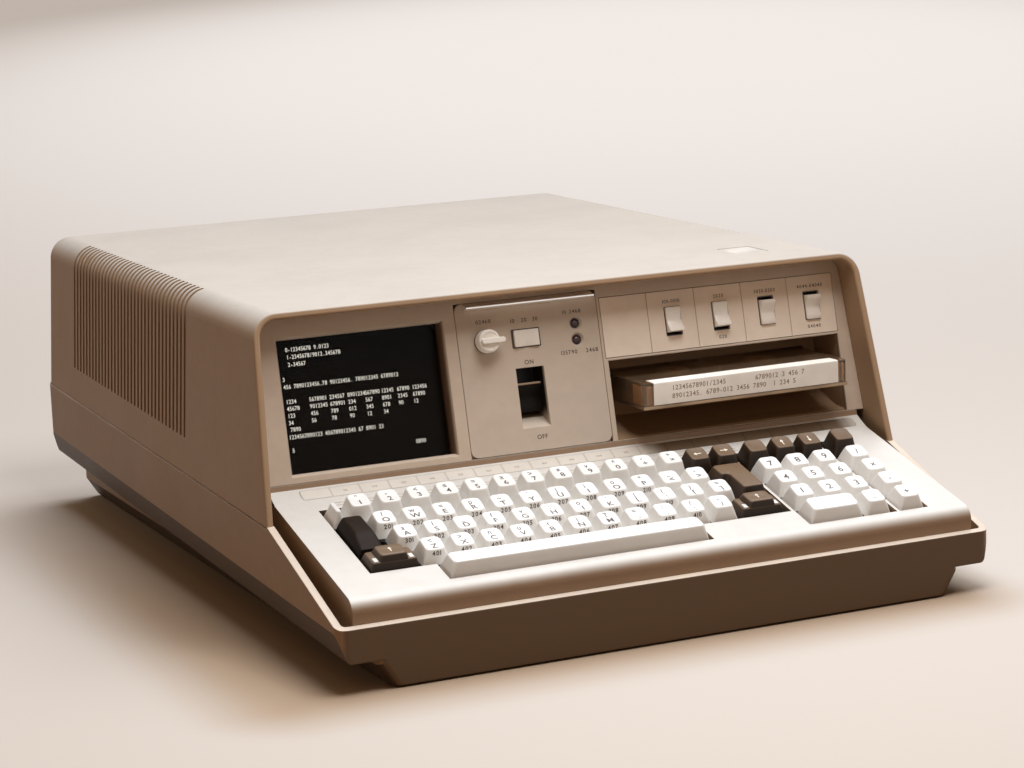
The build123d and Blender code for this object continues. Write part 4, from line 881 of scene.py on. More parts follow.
@dataclass(frozen=True)
class Glow(Finish):
    """Lit phosphor of the display."""

    tone: Tone = (250.0, 242.0, 228.0)
    unlit: Tone = (30.0, 26.0, 22.0)
    power: float = 1.9

    def mixed(self, recipe: Recipe) -> None:
        """Adds a lit colour that varies a little from dot to dot.

        Args:
            recipe: The material's nodes.
        """
        dots = recipe.noise(0.7, 2.0).between(0.3, 0.7)
        lit = recipe.mix(dots, tint(self.tone), tint(scaled(self.tone, 0.86)))
        recipe.surface(Base_Color=tint(self.unlit), Emission_Color=lit, Emission_Strength=self.power)


@dataclass(frozen=True)
class Ink(Finish):
    """Printed or moulded-in marking."""

    tone: Tone = (62.0, 46.0, 34.0)
    rough: float = 0.5

    def mixed(self, recipe: Recipe) -> None:
        """Adds slightly uneven ink.

        Args:
            recipe: The material's nodes.
        """
        patch = recipe.noise(0.9, 3.0)
        pale = tuple(part * 0.8 + 34 for part in self.tone)
        recipe.surface(
            Base_Color=recipe.mix(patch.between(0.5, 0.8) * 0.5, tint(self.tone), tint(pale)),
            Roughness=patch * 0.2 + (self.rough - 0.1),
        )


@dataclass(frozen=True)
class Paper(Finish):
    """Label paper with a faint fibre."""

    tone: Tone = (240.0, 232.0, 220.0)

    def mixed(self, recipe: Recipe) -> None:
        """Adds fibres and a little yellowing.

        Args:
            recipe: The material's nodes.
        """
        fibre = recipe.noise(0.6, 4.0, recipe.stretched(recipe.place(), Vector((0.4, 1.0, 1.0))))
        age = recipe.noise(30.0, 3.0).between(0.35, 0.75)
        recipe.surface(
            Base_Color=recipe.mix(age, tint(self.tone), tint(scaled(self.tone, 0.93))),
            Roughness=fibre * 0.15 + 0.72,
            Normal=recipe.bump(fibre, 0.015),
        )


@dataclass(frozen=True)
class WoundTape(Finish):
    """Reel of tape: glossy turns round a lighter hub."""

    axis: Flat = (85.0, -138.0)
    hub: float = 11.0                      # radius
    tone: Tone = (70.0, 46.0, 30.0)
    hub_tone: Tone = (206.0, 196.0, 182.0)
    turns: float = 22.0                    # phase of the turns for each millimetre outwards

    def mixed(self, recipe: Recipe) -> None:
        """Adds fine turns outside the hub's radius.

        Args:
            recipe: The material's nodes.
        """
        centre = Vector((self.axis[0] * MM, self.axis[1] * MM, 0))
        level = recipe.stretched(recipe.offset(recipe.place(), centre), RIGHT + REAR)
        radius = recipe.vector("LENGTH", level) * (1 / MM)
        turns = (radius * self.turns).sine() * 0.5 + 0.5
        pack = radius.between(self.hub - 0.2, self.hub + 0.2)
        wound = recipe.mix(turns, tint(self.tone), tint(scaled(self.tone, 0.7)))
        recipe.surface(
            Base_Color=recipe.mix(pack, tint(self.hub_tone), wound),
            Roughness=turns * 0.12 + 0.3,
            Normal=recipe.bump(turns * pack, 0.02),
        )


@dataclass(frozen=True)
class WoundWire(Finish):
    """Enamelled copper wire laid side by side."""

    way: Spot = (0.0, 1.0, 0.0)            # direction across the wires
    wire: float = 0.8                      # thickness of one wire
    tone: Tone = (176.0, 96.0, 52.0)

    def mixed(self, recipe: Recipe) -> None:
        """Adds the round backs of the wires, with painted shade in the grooves between them.

        Args:
            recipe: The material's nodes.
        """
        run = recipe.vector("DOT_PRODUCT", recipe.place(), Vector(self.way)) * (1 / MM)
        backs = abs((run * (math.pi / self.wire)).sine())
        # painted shade: darker in the grooves between the wires
        recipe.surface(
            Base_Color=recipe.mix(backs, tint(scaled(self.tone, 0.45)), tint(self.tone)),
            Roughness=recipe.noise(6.0) * 0.15 + 0.28,
            Metallic=0.6,
            Normal=recipe.bump(backs, 0.25),
        )


@dataclass(frozen=True)
class Board(Finish):
    """Printed board with its runs of copper under green lacquer."""

    tone: Tone = (48.0, 84.0, 52.0)
    pad_tone: Tone = (176.0, 160.0, 120.0)

    def mixed(self, recipe: Recipe) -> None:
        """Adds copper runs and solder pads.

        Args:
            recipe: The material's nodes.
        """
        bricks = {"Vector": recipe.place(), "Scale": 60.0, "Mortar Size": 0.03, "Mortar Smooth": 0.2}
        runs = recipe.node("ShaderNodeTexBrick", {}, bricks, "Fac")
        pads = recipe.node("ShaderNodeTexVoronoi", {}, {"Vector": recipe.place(), "Scale": 260.0}, "Distance")
        spots = pads.between(0.22, 0.12)
        shade = recipe.mix(runs, tint(self.tone), tint(scaled(self.tone, 1.35)))
        recipe.surface(
            Base_Color=recipe.mix(spots * 0.8, shade, tint(self.pad_tone)),
            Roughness=recipe.noise(3.0) * 0.15 + 0.38,
            Normal=recipe.bump(runs * 0.5 + spots, 0.05),
        )


# The tones given for walls, undersides, front walls, the hood's inside, recesses and the stretch under the
# bay are painted shade; the paler edges are partly wear and partly a painted highlight.
CASE = Fronted("case paint", (216, 201, 185), wall_shade=(166, 136, 107), under=(72, 53, 37), shine=0.3, grain=1.6,
               drift=0.05, edge=1.2, edge_wear_and_highlight=0.2)
COVER = Hooded("cover paint", (186, 178, 169), wall_shade=(172, 142, 112), shine=0.3, grain=1.6, drift=0.04,
               edge=0.0, edge_wear_and_highlight=0.0)
BEZEL_PAINT = Recessed("bezel paint", (206, 188, 170), rough=0.42, relief=0.015, drift=0.05, edge=0.8,
                       edge_wear_and_highlight=0.3, well_shade=(112, 88, 68), depth=(-0.4, -2.5), shaded=True)
PANEL = Recessed("panel plastic", (208, 193, 178), rough=0.4, shine=0.3, grain=1.2, relief=0.012, drift=0.05,
                 edge=0.4, edge_wear_and_highlight=0.3, well_shade=(26, 19, 13), depth=(-1.0, -4.0), foot=(25.0, 37.0),
                 proud=(252, 248, 242))
SWITCH_PANEL = Recessed("switch panel plastic", (244, 229, 213), rough=0.4, grain=1.2, relief=0.012,
                        drift=0.05, edge=0.3, edge_wear_and_highlight=0.2, well_shade=(60, 45, 33), depth=(-0.3, -1.2))
DECK_PLASTIC = Moulded("deck plastic", (216, 213, 208), wall_shade=(150, 122, 96), under=(96, 74, 55), rough=0.4,
                       shine=0.4, grain=1.3, relief=0.015, drift=0.04, edge=0.8, edge_wear_and_highlight=0.2)
STRIP_PLASTIC = UnderBay("strip plastic", (200, 192, 182), rough=0.4, grain=1.0, relief=0.01, drift=0.05,
                         edge=0.3, edge_wear_and_highlight=0.2)
CELL_PLASTIC = UnderBay("cell plastic", (218, 212, 203), rough=0.35, grain=1.0, relief=0.008, drift=0.04,
                        edge=0.0, edge_wear_and_highlight=0.0, deep=(104, 85, 66))
BAY_PLASTIC = Recessed("bay plastic", (160, 134, 110), rough=0.45, shine=0.15, grain=1.2, relief=0.012,
                       edge=0.5, edge_wear_and_highlight=0.2, well_shade=(150, 122, 96), depth=(-0.5, -9.0))
LIGHT_KEY = Polished("light key plastic", (233, 232, 230), wall_shade=(230, 228, 224), rough=0.34, grain=0.7,
                     drift=0.03)
DARK_KEY = Polished("dark key plastic", (115, 93, 71), wall_shade=(42, 29, 19), rough=0.42, shine=0.25, grain=0.7)
BLACK_KEY = Polished("black key plastic", (36, 24, 15), wall_shade=(20, 13, 8), rough=0.55, shine=0.08, grain=0.7)
WHITE_ROCKER = Polished("white rocker plastic", (250, 244, 236), rough=0.3, drift=0.03)
DARK_ROCKER = Polished("dark rocker plastic", (20, 15, 11), rough=0.55, shine=0.1)
RIDGE_PLASTIC = Moulded("ridge plastic", (168, 142, 118), rough=0.4)
KNOB_PLASTIC = Polished("knob plastic", (250, 244, 236), rough=0.32, drift=0.04)
# dark plastic: painted shade of the gaps under the knob and round the switches, and the cartridge's dark bars
DARK_BARS_AND_GAP_SHADE = Polished("dark bar and gap shade plastic", (58, 44, 33), rough=0.4, drift=0.06)
POST_PLASTIC = Polished("post plastic", (188, 160, 130), rough=0.3, relief=0.005, drift=0.1)
RUBBER = Moulded("foot rubber", (38, 34, 31), rough=0.8, grain=0.9, relief=0.05, drift=0.15, edge=0.4,
                 edge_wear_and_highlight=0.2)
BLACK_METAL = Moulded("black enamel", (30, 26, 23), grain=0.8, drift=0.15, edge=0.3, edge_wear_and_highlight=0.3)
LAMP = Clear("dark lamp lens", (70, 32, 20), through=0.3, rough=0.08, index=1.5)
WINDOW = Clear("smoked window", (16, 10, 5), through=0.0, alpha=0.3, rough=0.12, index=1.18)
TUBE = Clear("dark tube glass", (22, 14, 7), through=0.0, rough=0.2, index=1.2)
SMOKE = Clear("smoked cover plastic", (236, 206, 172), through=0.92, rough=0.05)
PLATE = Metal("plate metal", (206, 200, 192), rough=0.4, relief=0.006, bare=0.05)
SHEET = Metal("sheet steel", (150, 148, 143), rough=0.42, brushed=(0.06, 1.0, 1.0))
CAST = Metal("cast alloy", (158, 154, 148), rough=0.55, brushed=(1.0, 1.0, 1.0), relief=0.05)
CAGE = Metal("cage alloy", (184, 182, 176), rough=0.38, brushed=(1.0, 0.05, 1.0))
SCREW = Metal("screw steel", (132, 128, 120), brushed=(1.0, 1.0, 1.0))
HEAD = Metal("head metal", (170, 164, 154), rough=0.25, brushed=(1.0, 1.0, 0.1), relief=0.006)
BASE_METAL = Metal("cartridge metal", (168, 142, 116), rough=0.42, brushed=(0.05, 1.0, 1.0), relief=0.008)
CORE = Metal("core iron", (92, 86, 80), rough=0.5, brushed=(1.0, 1.0, 0.02), relief=0.06, edge=0.4, bare=0.8)
PUCK = Moulded("capstan rubber", (44, 38, 34), rough=0.6, grain=0.5, relief=0.03, drift=0.1, edge=0.3,
               edge_wear_and_highlight=0.2)
ROLLER = Moulded("roller plastic", (226, 220, 208), rough=0.35, grain=0.8, relief=0.006, drift=0.04, edge=0.3,
                 edge_wear_and_highlight=0.3)
FAN_PLASTIC = Moulded("fan plastic", (36, 33, 31), rough=0.42, grain=1.2, drift=0.12, edge=0.5, edge_wear_and_highlight=0.5)
INLET_PLASTIC = Moulded("inlet plastic", (28, 26, 25), rough=0.4, grain=0.9, relief=0.01, drift=0.12,
                        edge=0.4, edge_wear_and_highlight=0.5)
DARK_INK = Ink("dark ink", (58, 42, 31))
PALE_INK = Ink("pale ink", (238, 228, 212))
GREY_INK = Ink("faded ink", (150, 128, 108))
LABEL_PAPER = Paper("label paper", (252, 247, 240))
PHOSPHOR = Glow("phosphor")
YOKE_WIRE = WoundWire("yoke copper", way=(0.0, -0.2079, 0.9781))


class Assembly:
    """A sub-assembly, with solids that are dressed and pieces that are built."""

    def finishes(self) -> dict[str, Finish]:
        """Finish of each of its solids that is kept."""
        return {}

    def dress(self) -> None:
        """Gives the kept solids their finish."""
        for node, finish in self.finishes().items():
            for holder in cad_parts[node].material_slots:
                holder.material = finish.material()
            LOG.info("%s: %s", node, finish.name)

    def build(self) -> None:
        """Makes the pieces of its own, where it has any."""


# ---- case ------------------------------------------------------------------
@dataclass
class CaseShell(Assembly):
    """Base pan and cover with their small parts."""

    def finishes(self) -> dict[str, Finish]:
        """Chooses the finish of each solid of the case.

        Returns:
            The finishes by node.
        """
        return {
            "base_pan": CASE,
            "top_cover": COVER,
            "rubber_feet": RUBBER,
            "name_plate": PLATE,
            "case_screws": SCREW,
        }


# ---- keyboard --------------------------------------------------------------
class KeyTone(Enum):
    """The two colours that keys are moulded in, by the record's slots."""

    LIGHT = "key_light"
    DARK = "key_dark"

    @property
    def finish(self) -> Finish:
        """Finish of the cap."""
        return LIGHT_KEY if self is KeyTone.LIGHT else DARK_KEY

    @property
    def ink(self) -> Finish:
        """Finish of the marking."""
        return DARK_INK if self is KeyTone.LIGHT else PALE_INK


@dataclass(frozen=True)
class Mark:
    """Size of a marking and its place from the middle of a cap."""

    height: float
    across: float = 0.0
    up: float = 0.0


@dataclass(frozen=True)
class CapForm:
    """Sizes that the key caps share."""

    slant: float = 2.8                     # how far the sides lean in
    foot: float = -2.2
    base_radius: float = 1.3
    top_radius: float = 3.1
    sides: tuple[float, ...] = (0.0, 0.06, 0.35, 0.65)         # shares of the way up the sides
    rim: tuple[Ring, ...] = ((-0.15, 0.9, 2.9), (0.12, 0.34, 3.0), (0.42, 0.09, 3.0), (0.9, 0.0, 2.8))
    hollow: tuple[float, ...] = (0.28, 0.45, 0.65, 0.88)       # shares of the way to the top's middle
    hollow_radius: float = 2.6
    stem: float = 6.0
    stem_foot: float = -14.0
    long_key: float = 58.5                 # wider caps have two stems
    stem_inset: float = 19.5
    over: Mark = Mark(3.8, -0.6, 3.1)
    under: Mark = Mark(4.6, 0.3, -2.2)
    alone: Mark = Mark(5.4)
    arrow: float = 5.6
    front: Mark = Mark(2.9, 0.0, 0.76)     # up is a share of the front's height here
    ink: float = 0.12

    def plunger(self, solid: Solid, x: float, v: float) -> None:
        """Adds the stem under a cap, out of sight."""
        solid.block(around(x, self.stem), around(v, self.stem), (self.stem_foot, self.foot + 0.1))


FORM = CapForm()


@dataclass(frozen=True)
class KeyCap:
    """One dished cap on the keyboard's slope."""

    x: Span
    v: Span
    high: float                            # height of the top's rim at its middle
    dish: float = 0.6                      # depth of the hollow
    lean: float = 1.1                      # how much higher the rim is at the rear of the top
    over: str = ""
    under: str = ""
    front: str = ""

    @property
    def half(self) -> Flat:
        """Half the width and half the depth of the top."""
        return ((self.x[1] - self.x[0]) / 2 - FORM.slant, (self.v[1] - self.v[0]) / 2 - FORM.slant)

    def depth(self, x: float, v: float) -> float:
        """Works out how far the dished top lies below its rim.

        Args:
            x: Place across.
            v: Place up the deck.

        Returns:
            The depth there.
        """
        wide, deep = self.half
        u = min(abs(x - middle(self.x)) / wide, 1.0)
        w = min(abs(v - middle(self.v)) / deep, 1.0)
        flatness = 2.0 * wide / deep
        return self.dish * (1 - u**flatness) * (1 - w**2)

    def top(self, v: float) -> float:
        """Height of the top's rim, which leans towards the front."""
        return self.high + self.lean * (v - middle(self.v)) / self.half[1]

    def on_top(self, x: float, v: float, lift: float) -> Spot:
        """Lays a point on the dished top."""
        return (x, v, self.top(v) - self.depth(x, v) + lift)

    def shell(self, solid: Solid) -> None:
        """Adds the cap and its stems to a piece.

        Args:
            solid: Piece that the key belongs to.
        """
        corners = oblong(self.x, self.v)
        rings = []
        for share in FORM.sides:
            radius = FORM.base_radius + (FORM.top_radius - FORM.base_radius) * share
            outline = rounded(drawn_in(corners, FORM.slant * share), radius)
            rings.append([(x, v, FORM.foot + (self.top(v) - FORM.foot) * share) for x, v in outline])
        for inset, drop, radius in FORM.rim:
            outline = rounded(drawn_in(corners, FORM.slant + inset), radius)
            rings.append([(x, v, self.top(v) - drop) for x, v in outline])
        for share in FORM.hollow:
            inset = FORM.slant + min(self.half) * share
            outline = rounded(drawn_in(corners, inset), FORM.hollow_radius * (1 - share))
            rings.append([self.on_top(x, v, 0.0) for x, v in outline])
        solid.loft(rings)
        places = [middle(self.x)]
        if self.x[1] - self.x[0] > FORM.long_key:
            places = [self.x[0] + FORM.stem_inset, self.x[1] - FORM.stem_inset]
        for x in places:
            FORM.plunger(solid, x, middle(self.v))

    def mark(self, solid: Solid) -> None:
        """Adds the characters on the cap's top and front.

        Args:
            solid: Piece that holds the markings of this key's node.
        """
        x, v = middle(self.x), middle(self.v)
        if self.under in ARROWS:
            size = FORM.arrow
            solid.stamp(LETTERS.glyph(self.under),
                        lambda a, b, c: self.on_top(x + a * size, v + b * size, c * FORM.ink))
        else:
            plan = ((self.over, FORM.over), (self.under, FORM.under if self.over else FORM.alone))
            for text, form in plan:
                LETTERS.line(solid, text, form.height, (x + form.across, v + form.up), self.on_top, FORM.ink)
        if self.front:
            self.mark_front(solid)

    def mark_front(self, solid: Solid) -> None:
        """Adds the plain number on the cap's sloping front.

        Args:
            solid: Piece that holds the markings of this key's node.
        """
        rise = self.top(self.v[0] + FORM.slant) - FORM.foot
        length = math.hypot(rise, FORM.slant)
        run, climb = FORM.slant / length, rise / length

        def on_front(a: float, b: float, lift: float) -> Spot:
            """Lays a point on the front, where b is measured up the slope."""
            return (a, self.v[0] + b * run - lift * climb, FORM.foot + b * climb + lift * run)

        at = (middle(self.x), length * FORM.front.up)
        LETTERS.line(solid, self.front, FORM.front.height, at, on_front, FORM.ink)


@dataclass
class Keyboard(Assembly):
    """All keys, in the nodes that the frame moves."""

    pitch: float = 19.5
    base: float = 18.4                     # size of a cap's foot
    low: float = 8.0                       # height of the caps
    rear: float = 11.0                     # height of the caps of the rear row
    row_a_v: float = 101.6
    row_pitch: float = 20.4
    left: float = -186.0
    right: float = 93.4
    row_a_x: float = -166.6
    narrow: float = 8.9                    # width of the cap at the rear row's left end
    space_x: Span = (-143.6, 29.6)
    pad_x: float = 110.2
    pad_pitch: float = 20.1
    pad_signs_x: float = 175.0
    crease: float = 50.0
    command_wide: float = 17.7
    # Insets at the sides, the front and the rear, then height and corner radius.
    command_rings: tuple[tuple[float, ...], ...] = (
        (0.0, 0.0, 0.0, FORM.foot, 1.2), (1.2, 1.4, 1.2, 3.0, 1.6), (2.2, 9.5, 2.2, 6.2, 1.8),
        (2.9, 13.0, 2.8, 7.6, 1.8), (4.25, 15.0, 3.8, 8.0, 1.5),
    )
    execute_x: Span = (73.4, 68.0)         # left edge of its front step and of its rear
    execute_rings: tuple[Ring, ...] = (
        (0.0, FORM.foot, 1.2), (1.0, 1.5, 1.6), (2.6, 6.9, 2.2), (2.9, 7.6, 2.3), (3.3, 7.92, 2.3),
        (3.8, 8.0, 2.2),
    )
    shift_wide: float = 31.7               # width of the left one
    right_shift: float = 62.8
    raised_in: Flat = (6.0, 5.8)           # where each one's raised part starts from its left edge
    raised_wide: float = 19.0
    raised_edge: float = 1.8               # the low step in front of the raised part and behind it
    inlay_in: Flat = (3.2, 5.9)            # left edges of the inlays, from the step's left and right end
    inlay_wide: float = 2.7
    inlay_v: Span = (3.0, 7.6)             # from the step's front
    inlay_n: Span = (3.9, 4.35)
    shift_arrow: Spot = (5.6, 5.0, 0.14)   # its width, height and thickness
    shift_arrow_at: Flat = (0.6, 7.66)     # how far it stands behind the key's middle, and its level
    step_rings: tuple[Ring, ...] = ((0.0, FORM.foot, 1.2), (1.5, 3.0, 1.6), (1.9, 3.8, 1.6), (2.4, 4.1, 1.4))
    raised_rings: tuple[Ring, ...] = (
        (0.0, 3.9, 1.4), (0.9, 6.9, 2.2), (1.2, 7.7, 2.4), (1.9, 8.0, 2.2), (4.5, 7.6, 1.0),
    )

    def row_v(self, row: str) -> float:
        """Middle of a row up the deck."""
        return self.row_a_v - self.row_pitch * "ABCDE".index(row)

    def span_v(self, upper: str, lower: str) -> Span:
        """Span from the lower row's front to the upper row's rear."""
        return (self.row_v(lower) - self.base / 2, self.row_v(upper) + self.base / 2)

    def key(self, x: float, row: str, over: str = "", under: str = "", front: str = "") -> KeyCap:
        """A key of the common size."""
        high = self.rear if row == "A" else self.low
        return KeyCap(around(x, self.base), self.span_v(row, row), high, over=over, under=under, front=front)

    def typing_rows(self) -> dict[str, list[KeyCap]]:
        """Plans the light keys of the main field.

        Returns:
            The caps of each typing row's node.
        """
        plan = (
            ("A", self.row_a_x, "\"-<≤=≥>≠v^-÷", "1234567890+×", None),
            ("B", -157.9, "?w=p~'|io*_-", "QWERTYUIOP<>", 201),
            ("C", -152.6, "al_fv:o'|()=", "ASDFGHJKL;[]", 301),
            ("D", -143.5, "<>nut|T=:/-", "ZXCVBNM,.:/", 401),
        )
        rows = {}
        for number, (row, start, over, under, code) in enumerate(plan, 1):
            fronts = [str(code + i) if code and i < 10 else "" for i in range(len(under))]
            rows[f"letter_keys_row_{number}"] = [
                self.key(start + self.pitch * i, row, *signs)
                for i, signs in enumerate(zip(over, under, fronts))
            ]
        rows["letter_keys_row_1"].append(
            KeyCap((self.left, self.left + self.narrow), self.span_v("A", "A"), self.low, dish=0.1, lean=0.0))
        return rows

    def column(self, number: int) -> float:
        """Middle of a pad column."""
        return self.pad_signs_x if number == 3 else self.pad_x + self.pad_pitch * number

    def pad(self) -> list[KeyCap]:
        """Plans the light keys of the number pad.

        Returns:
            Its caps.
        """
        keys = []
        for row, signs in {"B": "789/", "C": "456×", "D": "123-"}.items():
            keys += [self.key(self.column(c), row, "", sign) for c, sign in enumerate(signs)]
        zero = (self.column(0) - self.base / 2, self.column(1) + self.base / 2)
        keys.append(KeyCap(zero, self.span_v("E", "E"), self.low, under="0"))
        keys += [self.key(self.column(c), "E", "", sign) for c, sign in ((2, "."), (3, "+"))]
        return keys

    def dark_single(self) -> dict[str, KeyCap]:
        """Plans the dark keys of the common size along the rear row.

        Returns:
            The cap of each key's node.
        """
        arrow_x = self.row_a_x + self.pitch * 12
        places = {
            "left_arrow_key": (arrow_x, "<-"),
            "right_arrow_key": (arrow_x + self.pitch, "->"),
            "attention_key": (self.column(0), ""),
            "up_arrow_key": (self.column(1), "up"),
            "down_arrow_key": (self.column(2), "dn"),
            "hold_key": (self.column(3), ""),
        }
        return {node: self.key(x, "A", "", sign) for node, (x, sign) in places.items()}

    def make(self, node: str, keys: list[KeyCap], tone: KeyTone) -> None:
        """Makes one node's caps and their markings.

        Args:
            node: Node that the caps stand for.
            keys: Its caps.
            tone: Colour of the caps.
        """
        caps = Solid(DECK.at)
        marks = Solid(DECK.at)
        for key in keys:
            key.shell(caps)
            key.mark(marks)
        self.finished(node, caps, tone)
        if marks.faces:
            marks.build(f"{node}_markings", node, tone.ink)

    def finished(self, node: str, caps: Solid, tone: KeyTone, *finishes: Finish) -> None:
        """Lets a piece stand for a key's solid.

        Args:
            node: The key's node.
            caps: Its caps.
            tone: Tone that names the record's slot.
            finishes: A finish for each kind of face, where it isn't the tone's own.
        """
        piece = caps.build(f"{node}_caps", node, *(finishes or (tone.finish,)), crease=self.crease)
        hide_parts(node)

    def shift(self, node: str, x: Span, raised_in: float) -> None:
        """Makes a dark key with a raised part and two light inlays on its low step.

        Args:
            node: The key's node.
            x: Span of its foot.
            raised_in: Where the raised part starts from its left edge.
        """
        caps = Solid(DECK.at)
        v = self.span_v("D", "D")
        raised = (x[0] + raised_in, x[0] + raised_in + self.raised_wide)
        caps.tower(oblong(x, v), self.step_rings)
        caps.tower(oblong(raised, (v[0] + self.raised_edge, v[1] - self.raised_edge)), self.raised_rings)
        FORM.plunger(caps, middle(x), middle(v))
        caps.kind = 1
        inlay_v = (v[0] + self.inlay_v[0], v[0] + self.inlay_v[1])
        for left in (x[0] + self.inlay_in[0], x[1] - self.inlay_in[1]):
            caps.slab(oblong((left, left + self.inlay_wide), inlay_v), self.inlay_n, 0.3, 0.1)
        self.finished(node, caps, KeyTone.DARK, DARK_KEY, LIGHT_KEY)
        marks = Solid(DECK.at)
        wide, tall, thick = self.shift_arrow
        at = (middle(raised), middle(v) + self.shift_arrow_at[0], self.shift_arrow_at[1])
        marks.stamp(LETTERS.glyph("up"),
                    lambda a, b, c: (at[0] + a * wide, at[1] + b * tall, at[2] + c * thick))
        marks.build(f"{node}_markings", node, PALE_INK)

    def command(self) -> None:
        """Makes the tall dark key over two rows, with a ridge towards the rear."""
        caps = Solid(DECK.at)
        x, v = (self.left, self.left + self.command_wide), self.span_v("B", "C")
        caps.loft([
            lifted(rounded(oblong((x[0] + side, x[1] - side), (v[0] + front, v[1] - back)), radius), n)
            for side, front, back, n, radius in self.command_rings
        ])
        FORM.plunger(caps, middle(x), middle(v))
        self.finished("command_key", caps, KeyTone.DARK, BLACK_KEY)

    def execute(self) -> None:
        """Makes the stepped dark key over two rows."""
        caps = Solid(DECK.at)
        low, high = self.span_v("C", "C"), self.span_v("B", "B")
        front, rear = self.execute_x
        corners = [
            (front, low[0]), (self.right, low[0]), (self.right, high[1]),
            (rear, high[1]), (rear, high[0]), (front, high[0]),
        ]
        caps.tower(corners, self.execute_rings)
        FORM.plunger(caps, middle((front, self.right)), middle(self.span_v("B", "C")))
        self.finished("execute_key", caps, KeyTone.DARK)

    def build(self) -> None:
        """Makes every key."""
        for node, keys in self.typing_rows().items():
            self.make(node, keys, KeyTone.LIGHT)
        self.make("number_pad_keys", self.pad(), KeyTone.LIGHT)
        for node, key in self.dark_single().items():
            self.make(node, [key], KeyTone.DARK)
        bar = KeyCap(self.space_x, self.span_v("E", "E"), self.low, dish=0.15, lean=0.0)
        self.make("space_bar", [bar], KeyTone.LIGHT)
        self.shift("left_shift_key", (self.left, self.left + self.shift_wide), self.raised_in[0])
        self.shift("right_shift_key", (self.right_shift, self.right), self.raised_in[1])
        self.command()
        self.execute()


@dataclass
class KeyboardDeck(Assembly):
    """Deck round the keys, with the label strip behind them."""

    strip_x: Span = (-192.0, 205.0)
    strip_v: Span = (2.2, 11.6)
    cell_pitch: float = 19.5
    cell_count: int = 20
    cell_numbers: range = range(1, 12)
    cell_start: float = 0.8                # from the strip's left end
    cell_gap: float = 1.1
    cell_edge: float = 0.7                 # strip left bare in front of the cells and behind them
    cell_n: Span = (-0.5, -0.06)
    number_height: float = 1.7
    line_x: float = -173.0
    line_count: int = 15
    line_reach: Span = (-3.4, 7.4)
    line_v: tuple[float, ...] = (118.4, 121.6)
    line_wide: float = 0.45
    line_n: Span = (-0.1, 0.04)

    def finishes(self) -> dict[str, Finish]:
        """Chooses the finish of each solid of the deck.

        Returns:
            The finishes by node.
        """
        return {
            "keyboard_deck": DECK_PLASTIC,
            "keyboard_plate": BLACK_METAL,
            "keyboard_board": Board("keyboard board lacquer"),
            "label_strip": STRIP_PLASTIC,
        }

    def build(self) -> None:
        """Makes the strip's cells and the thin lines in front of them."""
        cells = Solid(STRIP.at)
        marks = Solid(STRIP.at)
        high = self.cell_n[1]
        v = (self.strip_v[0] + self.cell_edge, self.strip_v[1] - self.cell_edge)
        for i in range(self.cell_count):
            left = self.strip_x[0] + self.cell_start + self.cell_pitch * i
            x = (left, left + self.cell_pitch - self.cell_gap)
            cells.slab(oblong(x, v), self.cell_n, 1.0, 0.1)
            if i in self.cell_numbers:
                LETTERS.line(marks, str(100 + 10 * i), self.number_height, (middle(x), middle(v)),
                             lambda a, b, lift: (a, b, high + lift), 0.06)
        cells.build("strip_cells", "machine", CELL_PLASTIC)
        marks.build("strip_numbers", "machine", GREY_INK)
        lines = Solid(DECK.at)
        for i in range(self.line_count):
            start = self.line_x + self.cell_pitch * i
            x = (start + self.line_reach[0], start + self.line_reach[1])
            for v in self.line_v:
                lines.slab(oblong(x, around(v, self.line_wide)), self.line_n, 0.1)
        lines.build("deck_lines", "machine", GREY_INK)


